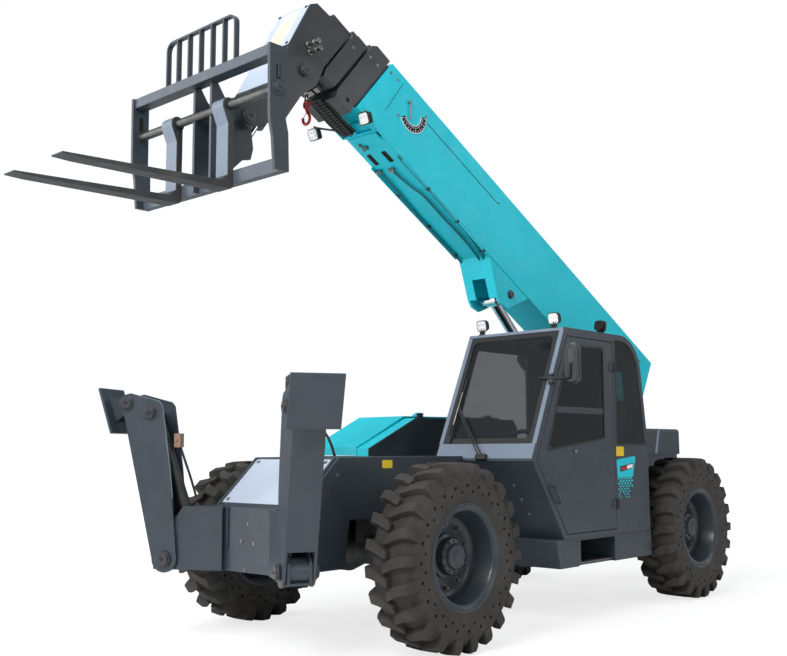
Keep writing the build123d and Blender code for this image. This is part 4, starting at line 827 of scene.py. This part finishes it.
def carriage_details():
    """Shaft ends, slots shown as black sheets of painted shade, shaft skin, and painted highlights on the lit
    front faces of the carriage's bars.
    """
    slot = rounded(0.034, 0.110, 0.016)
    for name, sign, way in SIDES:
        y = BOOM_Y + sign * 790
        end = place(at(SHAFT_X, y, SHAFT_Z), FORWARD, way)
        pin = Shape().pin(at(SHAFT_X, y, SHAFT_Z), way, 0.034).rod(0.055, 0, 0.006, end, 32)
        pin.box((0.010, 0.110, 0.008), place(at(SHAFT_X, y, SHAFT_Z + 120), FORWARD, way), (0, 0, 0.003))
        pin.piece(f"carriage_pin_{name}", "carriage", "slate", 0.001)
        # painted shade: black sheets on both faces of each side plate stand for the shaded inside of the slot
        for kind, inwards, turn in (("slot", 0, 1), ("slot_in", 25, -1)):
            face = place(at(SHAFT_X, y - sign * inwards, SHAFT_Z + 100), FORWARD, way * turn)
            Shape().prism(slot, 0.001, face).piece(f"carriage_{kind}_{name}", "carriage", "black_marks_and_hole_shade")
    shaft = Shape().lathe([(0.0305, -0.74), (0.0312, -0.74), (0.0312, 0.74), (0.0305, 0.74)],
                          place(at(SHAFT_X, BOOM_Y, SHAFT_Z), UP, LEFT), 40)
    shaft.piece("fork_shaft_skin", "carriage", "shaft")
    for name, _, _ in SIDES:
        fork_details(f"fork_{name}")
    # painted highlights: lighter slate sheets on the front faces of the carriage's bars, where the light
    # falls
    bars = [((0.020, (high - low) / 1000, 0.0012), front_face(4700.5, y, (low + high) / 2))
            for y in (14.5, -174.5) for low, high in ((CARRIAGE_LOW + 8, 3636), (3704, CARRIAGE_HIGH - 76))]
    boxes("carriage_bar_painted_highlights", "carriage", "edge",
          bars + [((1.53, 0.094, 0.0012), front_face(4650.5, BOOM_Y, CARRIAGE_LOW + 49))])
    boxes("carriage_top_painted_highlight", "carriage", "edge",
          [((1.56, 0.066, 0.0012), front_face(4745.5, BOOM_Y, CARRIAGE_HIGH - 36))])


def fork_details(body):
    """Pale painted highlight on the lit front of one fork's shank, which runs up over the eye on the shaft,
    and its stop bolt.
    """
    low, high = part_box(body)
    y, wide = (low.y + high.y) / 2, high.y - low.y
    heel = at(4698.3, 0, 0).x
    side = left_face(SHAFT_X, 0, SHAFT_Z)
    side.translation.y = y
    eye = [polar(0.0545, -math.radians(110 * i / 12)) for i in range(13)]
    front = [(0.0085, 0.125), (0.0525, 0.020)] + eye
    Shape().prism(front + [(-0.015, 0.125)], wide - 0.002, side, 0.001 - wide / 2).piece(
        f"{body}_fairing", body, "fork", 0.001)
    # painted highlight: pale sheets on the fork's front face and along its front edge over the eye, where the
    # light falls
    faces = Shape().box((0.52, wide - 0.006, 0.0012), place(Vector((heel + 0.001, y, 3.380)), UP, FORWARD))
    faces.line([(x * 1.012 + 0.0004, z) for x, z in front], 0.0016, wide - 0.008, side, 0.004 - wide / 2)
    faces.piece(f"{body}_shank_painted_highlight", body, "pale")
    bolts(f"{body}_stop", body, [(Vector((heel - 0.024, y, 3.724)), UP)], 0.012)


def windscreen():
    """Seal and pale trim, and the wiper: two parallel arms, a blade with its spine, and a motor."""
    foot, run = at(2530, 645, 1265), Vector((-0.480, 0, 1.045))
    tall = run.length
    run.normalize()
    normal = Vector((run.z, 0, -run.x))
    screen = place(foot, LEFT, normal)          # local Y runs up the slope
    outer, inner = rounded(0.868, tall - 0.17, 0.04, 6), rounded(0.790, tall - 0.26, 0.05, 6)
    rings = ((outer, -0.004), (outer, 0.004), (inner, 0.004), (inner, -0.004))
    seal = Shape().faces([(x, y, z) for ring, z in rings for x, y in ring], skin(4, len(outer), True),
                         screen @ Matrix.Translation((0, 0.142 + (tall - 0.17) / 2, 0)))
    seal.piece("windscreen_seal", "chassis", "plastic")
    trim = [((0.93, wide, 0.004), screen, (0, up, 0.003))
            for wide, up in ((0.125, 0.078), (0.026, tall - 0.015))]
    trim += [((0.038, tall - 0.16, 0.004), screen, (x, 0.14 + (tall - 0.16) / 2, 0.003))
             for x in (-0.4539, 0.4539)]
    boxes("windscreen_trim", "chassis", "pale", trim, 0.001)

    def on_screen(y, up, out=0.02):
        return foot + LEFT * (y - 645) / 1000 + run * up / 1000 + normal * out

    for i, off in enumerate((0, 34)):
        tube(f"wiper_arm_{i}", "chassis", "plastic",
             [on_screen(628 + off, 22), on_screen(500 + off * 0.8, 170, 0.035),
              on_screen(290 + off * 0.5, 445, 0.030)], 0.006)
    tube("wiper_blade", "chassis", "hose",
         [on_screen(282, 150, 0.014), on_screen(290, 440, 0.022), on_screen(282, 730, 0.014)], 0.009)
    tube("wiper_spine", "chassis", "steel",
         [on_screen(286, 300, 0.030), on_screen(294, 445, 0.036), on_screen(288, 590, 0.030)], 0.006)
    motor = Shape().box((0.10, 0.045, 0.035), screen, (0, 0.020, 0.018))
    for y in (612, 660):
        motor.lathe([(0, 0), (0.016, 0), (0.014, 0.030), (0, 0.034)],
                    place(on_screen(y, 22, 0.0), LEFT, normal), 18)
    motor.piece("wiper_motor", "chassis", "plastic", 0.003)


def cab_side():
    """Window seal, bar, latch and hinges of the door, and the edge of the quarter window."""
    face = left_face(0, CAB_LEFT, 0)
    corners = mm((1490, -2180), (2005, -2165), (2318, -1345), (1500, -1440))
    Shape().line(corners + corners[:1], 0.016, 0.003, face).piece(
        "door_window_seal", "cab_door", "plastic", 0.001)
    # painted shade: an opaque dark sheet behind the door glass stands for its tint and the shaded cab inside
    Shape().prism(corners, 0.001, face, -0.0035).piece("door_window_shade", "cab_door", "tinted_pane_and_cab_shade")
    boxes("door_window_bar", "cab_door", "slate",
          [((0.79, 0.050, 0.010), left_face(1880, 1113, 1656))], 0.002)
    lock = left_face(1936, CAB_LEFT, 1333)
    latch = Shape().lathe([(0, 0), (0.016, 0), (0.016, 0.006), (0.010, 0.012), (0, 0.012)], lock, 20)
    latch.box((0.040, 0.008, 0.010), lock, (0.01, 0, 0.010)).piece("door_latch", "cab_door", "steel", 0.001)
    for z in (900, 2030):
        hinge = Shape().rod(0.0135, -0.036, 0.036, level(1335, 1132, z), 20)
        hinge.piece(f"door_hinge_{z}", "cab_door", "hose", 0.001)
    edge = Shape().line(mm((1296, -1392), (1296, -2262)), 0.020, 0.002, face)
    edge.line(mm((1296, -1392), (796, -1392)), 0.016, 0.002, face)
    edge.piece("quarter_window_edge", "chassis", "plastic", 0.001)


def badge():
    """Teal badge with a red and white strip, rows of squares that shrink downwards, and the cab's label."""
    face = left_face(1190, CAB_LEFT, 1120)
    field = (117, 5), (128, -126), (118, -142), (-168, -170), (-184, -156), (-128, 5)
    for name, look, depth, low, outline in (
            ("field", "teal", 0.0012, 0.0, field),
            ("strip", "black_marks_and_hole_shade", 0.0008, 0.0012, ((75, -40), (75, -84), (-143, -112), (-143, -68))),
            ("red", "red", 0.0006, 0.0020, ((65, -48), (65, -76), (-30, -90), (-30, -60))),
            ("white", "white", 0.0006, 0.0020, ((-36, -61), (-36, -92), (-133, -104), (-133, -73)))):
        Shape().prism(mm(*outline), depth, face, low).piece(f"badge_{name}", "chassis", look)
    squares = Shape()
    for row in range(8):
        wide, tall = 0.020 - 0.0015 * row, 0.012 - 0.0006 * row
        for column in range(5 if row < 4 else 4):
            if row > 5 and column == 1:
                continue
            x, y = 0.100 - 0.048 * column - 0.024 * (row % 2), 0.014 + 0.022 * row
            squares.prism([(x, y - tall), (x + wide, y), (x, y + tall), (x - wide, y)], 0.0012, face)
    squares.piece("badge_squares", "chassis", "teal")
    label("cab_label", 0.122, 0.078, left_face(1258, CAB_LEFT, 1330))


def mirror_shell(case, glass, face, wide, tall):
    """Ribbed oval mirror head; the glass looks along the frame's -Z."""
    case.prism(rounded(wide, tall, wide / 2 - 0.003, 8), 0.020, face, 0.020, 0.10)
    case.prism(rounded(wide + 0.005, tall + 0.005, wide / 2, 8), 0.022, face, -0.002)
    for inset in (0.018, 0.034):
        rib = rounded(wide - 2 * inset, tall - 2 * inset, wide / 2 - inset - 0.004, 8)
        case.line(rib + rib[:1], 0.006, 0.004, face, 0.039)
    case.lathe([(0, 0.036), (0.014, 0.036), (0.014, 0.048), (0, 0.050)], face, 16)
    glass.prism(rounded(wide - 0.015, tall - 0.02, wide / 2 - 0.010, 8), 0.001, face, -0.0035)


def mirrors():
    """Both mirrors in place of the CAD ones: heads, bent arms and clamps."""
    case, glass = Shape(), Shape()
    away = Vector((0.70, -0.71, 0))
    mirror_shell(case, glass, place(at(2225, 1305, 2000), LEFT, FORWARD), 0.128, 0.318)
    mirror_shell(case, glass, place(at(3150, -880, 1790), UP.cross(away), away), 0.150, 0.385)
    for foot in ((2262, 1125, 1885), (3120, -640, 1320)):
        case.box((0.030, 0.040, 0.050), level(*foot))
    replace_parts(case.piece("mirror_heads", "chassis", "boom_dark", 0.002, slot="trim_plastic"), "mirrors")
    glass.piece("mirror_glass", "chassis", "mirror")
    for name, radius, points in (
            ("left", 0.009, ((2275, 1020, 1900), (2268, 1110, 1886), (2275, 1285, 1885), (2275, 1303, 1900),
                             (2275, 1305, 2000))),
            ("right", 0.011, ((3060, -430, 1250), (3100, -470, 1560), (3165, -880, 1570), (3190, -920, 1585),
                              (3192, -922, 1790)))):
        tube(f"mirror_arm_{name}", "chassis", "hose", [at(*point) for point in points], radius)
    clamp = [((0.016, 0.016, 0.09), level(2262, 1136, 1885))]
    for z in (1855, 1915):
        clamp.append(((0.044, 0.036, 0.022), level(2262, 1125, z)))
        clamp.append(((0.012, 0.056, 0.012), level(2262, 1132, z)))
    boxes("mirror_clamps_left", "chassis", "hose", clamp, 0.002)


def roof_lamps():
    """Three work lamps on tilting brackets, in place of the CAD ones; the rear one shows no lens."""
    case, lens = Shape(), Shape()
    for x, y, way, facing in ((2035, 292, 1, (0.97, 0.12, -0.2)), (2035, 1012, 1, (0.97, 0.12, -0.2)),
                              (1300, 1000, -1, (-0.97, 0.10, -0.2))):
        lamp_head(case, lens if way > 0 else None, place(at(x + 12 * way, y, 2386), LEFT, facing),
                  (0.096, 0.026, 0.020), (0.088, 0.030, 0.034, 0.3, 0.001), (0.072, 0.028, 0.0105, 0.046),
                  (0.082, 0.020), 0.019)
        case.box((0.050, 0.040, 0.008), level(x, y, 2314)).box((0.030, 0.008, 0.050), level(x, y, 2334))
        for side in (-20, 20):
            case.box((0.022, 0.005, 0.050), level(x, y + side, 2345))
    cases = case.piece("roof_lamp_cases", "chassis", "plastic", 0.0015, slot="lamp_plastic")
    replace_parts(cases, "work_lamps")
    lens.piece("roof_lamp_lenses", "chassis", "lens")


def deck_details():
    """Pale slope plate, beam ribs, label, boom rest pin, step tread, and the bolts of the front."""
    run = Vector((0.360, 0, -0.335))
    slope, length = place(at(4060, 0, 1132.5), LEFT, (-run.z, 0, run.x)), run.length
    boxes("slope_plate", "chassis", "cover", [((0.80, length * 0.90, 0.004), slope, (0, 0, 0.002))], 0.001)
    boxes("slope_trim", "chassis", "slate",
          [((0.022, length * 0.96, 0.010), slope, (x, 0, 0.004)) for x in (-0.41, 0.41)], 0.001)
    bolts("slope_bolts", "chassis", [(slope @ Vector((x, y, 0.004)), slope.to_3x3().col[2])
                                     for x in (-0.36, 0.36) for y in (-0.19, 0.19)], 0.010)
    beam = front_face(4300, 0, 740)
    boxes("beam_ribs", "chassis", "slate",
          [((0.018, 0.270, 0.012), beam, (x, 0.085, 0.006)) for x in (-0.232, 0.246)], 0.001)
    bolts("beam_bolts", "chassis", [(beam @ Vector((x, y, 0)), FORWARD) for x, y in (
        (-0.01, 0.110), (-0.085, -0.010), (0.050, -0.020), (-0.04, -0.205))], 0.009)
    slant = 0.305           # how far the cab's front leans back for each metre below the windscreen
    bolts("cab_front_bolts", "chassis", [(at(2528 - (1265 - z) * slant, y, z), Vector((1, 0, -slant)))
                                         for y, z in ((903, 1078), (952, 972), (997, 864))], 0.008)
    label("deck_label", 0.107, 0.058, left_face(3395, FRAME_LEFT, 1248))
    bolts("side_plate_bolts", "chassis", [(at(x, FRAME_LEFT, z), LEFT) for x, z in (
        (3900, 1180), (3980, 1050), (2740, 1210), (2740, 1060), (2740, 900))], 0.009)
    Shape().pin(at(3775, -65, 1355), LEFT, 0.018).pin(at(3775, -95, 1355), RIGHT, 0.018).piece(
        "boom_rest_pin", "chassis", "steel", 0.001)
    boxes("step_tread", "chassis", "steel", [((0.50, 0.62, 0.006), level(1610, 770, 461))] + [
        ((0.010, 0.60, 0.010), level(1400 + 52 * i, 770, 466)) for i in range(9)], 0.001)


def rear_box():
    """Painted highlight on an edge of the rear box, the box's filler cap, and the bracket beside the rear
    wheel.
    """
    # painted highlight: a pale strip along the rear box's lit edge
    Shape().line(mm((431, -1518), (492, -1310)), 0.038, 0.002, left_face(0, 1040, 0)).piece(
        "tank_edge_painted_highlight", "chassis", "pale")
    Shape().lathe([(0, 0), (0.055, 0), (0.055, 0.014), (0.048, 0.020), (0.048, 0.040), (0, 0.042)],
                  level(360, 800, 1530), 32).piece("tank_cap", "chassis", "hose", 0.002)
    boxes("rear_bracket", "chassis", "slate", [((0.20, 0.080, 0.010), left_face(860, 1104, 730))], 0.002)
    bolts("rear_bracket_bolts", "chassis", [(at(x, 1109, 720), LEFT) for x in (800, 925)], 0.010)


def leg_details():
    """Pins, painted highlights along the edges, valves and hoses of the outriggers, in the plane that each
    one folds in.
    """
    splay = math.radians(28)
    for name, sign, _ in SIDES:
        out = Vector((math.sin(splay), sign * math.cos(splay), 0))
        face = Vector((math.cos(splay), -sign * math.sin(splay), 0))
        base = at(4469, sign * 669, 595)

        def spot(u, v, w=0):
            return base + (out * u + UP * v + face * w) / 1000

        leg, barrel = f"leg_{name}", f"leg_barrel_{name}"
        pins, ends = Shape(), Shape()
        for way in (1, -1):
            pins.pin(spot(321, 1100, 106 * way), face * way, 0.044)
            pins.pin(spot(132, 1026, 106 * way), face * way, 0.038)
            ends.pin(spot(0, 0, 118 * way), face * way, 0.044)
        pins.piece(f"leg_pins_{name}", leg, "boom_dark", 0.001)
        ends.piece(f"leg_base_pins_{name}", "chassis", "boom_dark", 0.001)
        # painted highlights: pale lines along the leg's edges, where the light catches them
        edge = ((-60, 420), (-32, 640), (34, 1078), (64, 1112), (285, 1170))
        plane = place(base, out, face)
        Shape().line(mm(*((u, sign * v) for u, v in edge)), 0.004, 0.002, plane, 0.1055).piece(
            f"leg_edge_highlights_{name}", leg, "pale")
        valve = Shape().box((0.050, 0.060, 0.10), place(spot(-47, 830), out, UP))
        valve.bolt(spot(-47, 830, 30), face, 0.009, 0.01).piece(f"leg_valve_{name}", barrel, "brass", 0.003)
        tube(f"leg_hose_{name}", barrel, "hose",
             [spot(-60, 785), spot(-95, 700, 8), spot(-150, 560, 4), spot(-190, 430)], 0.009)


def hood_details():
    """Locks and slats of the engine lid, whose colour runs on over the cowl's nose up to a dark seal."""
    boxes("hood_locks", "engine_hood", "plastic",
          [((0.075, 0.030, 0.016), place(at(x, -1049, 1345), FORWARD, RIGHT)) for x in (1150, 2050)], 0.004)
    boxes("hood_slats", "engine_hood", "plastic",
          [((0.30, 0.010, 0.004), place(at(1500, -1046, 1420 + 16 * i), FORWARD, RIGHT), (0, 0, 0.001))
           for i in range(9)])
    nose = [(2.205, -1.6225), (2.7905, -1.3625), (2.7905, -1.3005)]
    Shape().line(nose, 0.002, 0.129, left_face(0, -455, 0)).piece("cowl_nose", "chassis", "teal")
    Shape().line(nose, 0.002, 0.024, left_face(0, -325, 0)).piece("cowl_seal", "chassis", "black_marks_and_hole_shade")


# ---- camera, light and floor ----
AREA_LIGHTS = (         # place, aim, size in metres, power
    ((13500, 3000, 9500), (2500, 0, 1800), 6.0, 1250),
    ((5000, 12500, 7000), (1500, 0, 1500), 6.0, 200),
    ((-5500, 7500, 6000), (800, 0, 1600), 5.0, 130),
    ((2500, -1000, 12500), (2000, 0, 1500), 8.0, 420),
    ((11000, -8000, 4800), (3500, 0, 2200), 9.0, 520),
)


def camera_and_lights():
    scene = bpy.context.scene
    scene.view_settings.view_transform = "Standard"
    yaw, pitch, roll = (math.radians(angle) for angle in (222.59, 6.878, -0.256))
    ahead = Vector(polar(math.cos(pitch), yaw, math.sin(pitch)))
    side = ahead.cross(UP).normalized()
    side = side * math.cos(roll) + side.cross(ahead) * math.sin(roll)
    scene.camera = linked("camera", bpy.data.cameras.new("camera"))
    scene.camera.matrix_world = place(at(8808, 5493, 1350), side, -ahead)
    scene.camera.data.sensor_width = 36
    scene.camera.data.lens = 46.2314
    scene.camera.data.clip_end = 200
    for where, aim, size, power in AREA_LIGHTS:
        light = linked("lamp", bpy.data.lights.new("lamp", "AREA"))
        light.data.size = size
        light.data.energy = power
        turn = (at(*aim) - at(*where)).to_track_quat("-Z", "Y")
        light.matrix_world = Matrix.Translation(at(*where)) @ turn.to_matrix().to_4x4()


def sky():
    """A plain pale world, dimmer as a light than as it is seen."""
    world = bpy.data.worlds.new("world")
    bpy.context.scene.world = world
    world.use_nodes = True
    tree = world.node_tree
    background = tree.nodes["Background"]
    background.inputs["Color"].default_value = (0.80, 0.82, 0.85, 1)
    rays, seen = tree.nodes.new("ShaderNodeLightPath"), tree.nodes.new("ShaderNodeMath")
    seen.operation = "MAXIMUM"
    strength = tree.nodes.new("ShaderNodeMapRange")
    strength.inputs["To Min"].default_value = 0.36
    strength.inputs["To Max"].default_value = 1.25
    for start, end in ((rays.outputs["Is Camera Ray"], seen.inputs[0]),
                       (rays.outputs["Is Transmission Ray"], seen.inputs[1]),
                       (seen.outputs["Value"], strength.inputs["Value"]),
                       (strength.outputs["Result"], background.inputs["Strength"])):
        tree.links.new(start, end)


def floor():
    """A plain pale floor that glows towards white for the camera, more so away from the machine."""
    plane = linked("floor", bpy.data.meshes.new("floor"))
    mesh = bmesh.new()
    bmesh.ops.create_grid(mesh, x_segments=1, y_segments=1, size=60)
    mesh.to_mesh(plane.data)
    mesh.free()
    plane.location.z = cad_box[0][2]
    n = Nodes("floor_pale")
    n.finish(n.ramp(n.noise(0.8, 3), [(0.0, (0.86, 0.86, 0.86, 1)), (1.0, (0.90, 0.90, 0.90, 1))]), 0.9)
    glow = n.add("ShaderNodeEmission", (("Strength", 1.22),))
    blend, rays = n.add("ShaderNodeMixShader"), n.add("ShaderNodeLightPath")
    away = n.add("ShaderNodeVectorMath", operation="LENGTH")
    n.link(n.coordinates, away.inputs[0])
    amount = n.add("ShaderNodeMath", operation="MULTIPLY")
    for start, end in ((rays.outputs["Is Camera Ray"], amount.inputs[0]),
                       (n.range(away.outputs["Value"], 0.62, 0.95, 5.0, 13.0), amount.inputs[1]),
                       (amount.outputs["Value"], blend.inputs["Fac"]),
                       (n.shader.outputs["BSDF"], blend.inputs[1]),
                       (glow.outputs["Emission"], blend.inputs[2]),
                       (blend.outputs["Shader"], n.tree.nodes["Material Output"].inputs["Surface"])):
        n.link(start, end)
    plane.data.materials.append(n.material)


camera_and_lights()
sky()
floor()
wheels()
for node, bevel in EASED.items():
    reworked(node, bevel)
for details in (boom_sides, boom_underside, mouth_details, hook, head_details, carriage_details, windscreen,
                cab_side, badge, deck_details, rear_box, leg_details, hood_details, mirrors, roof_lamps):
    details()
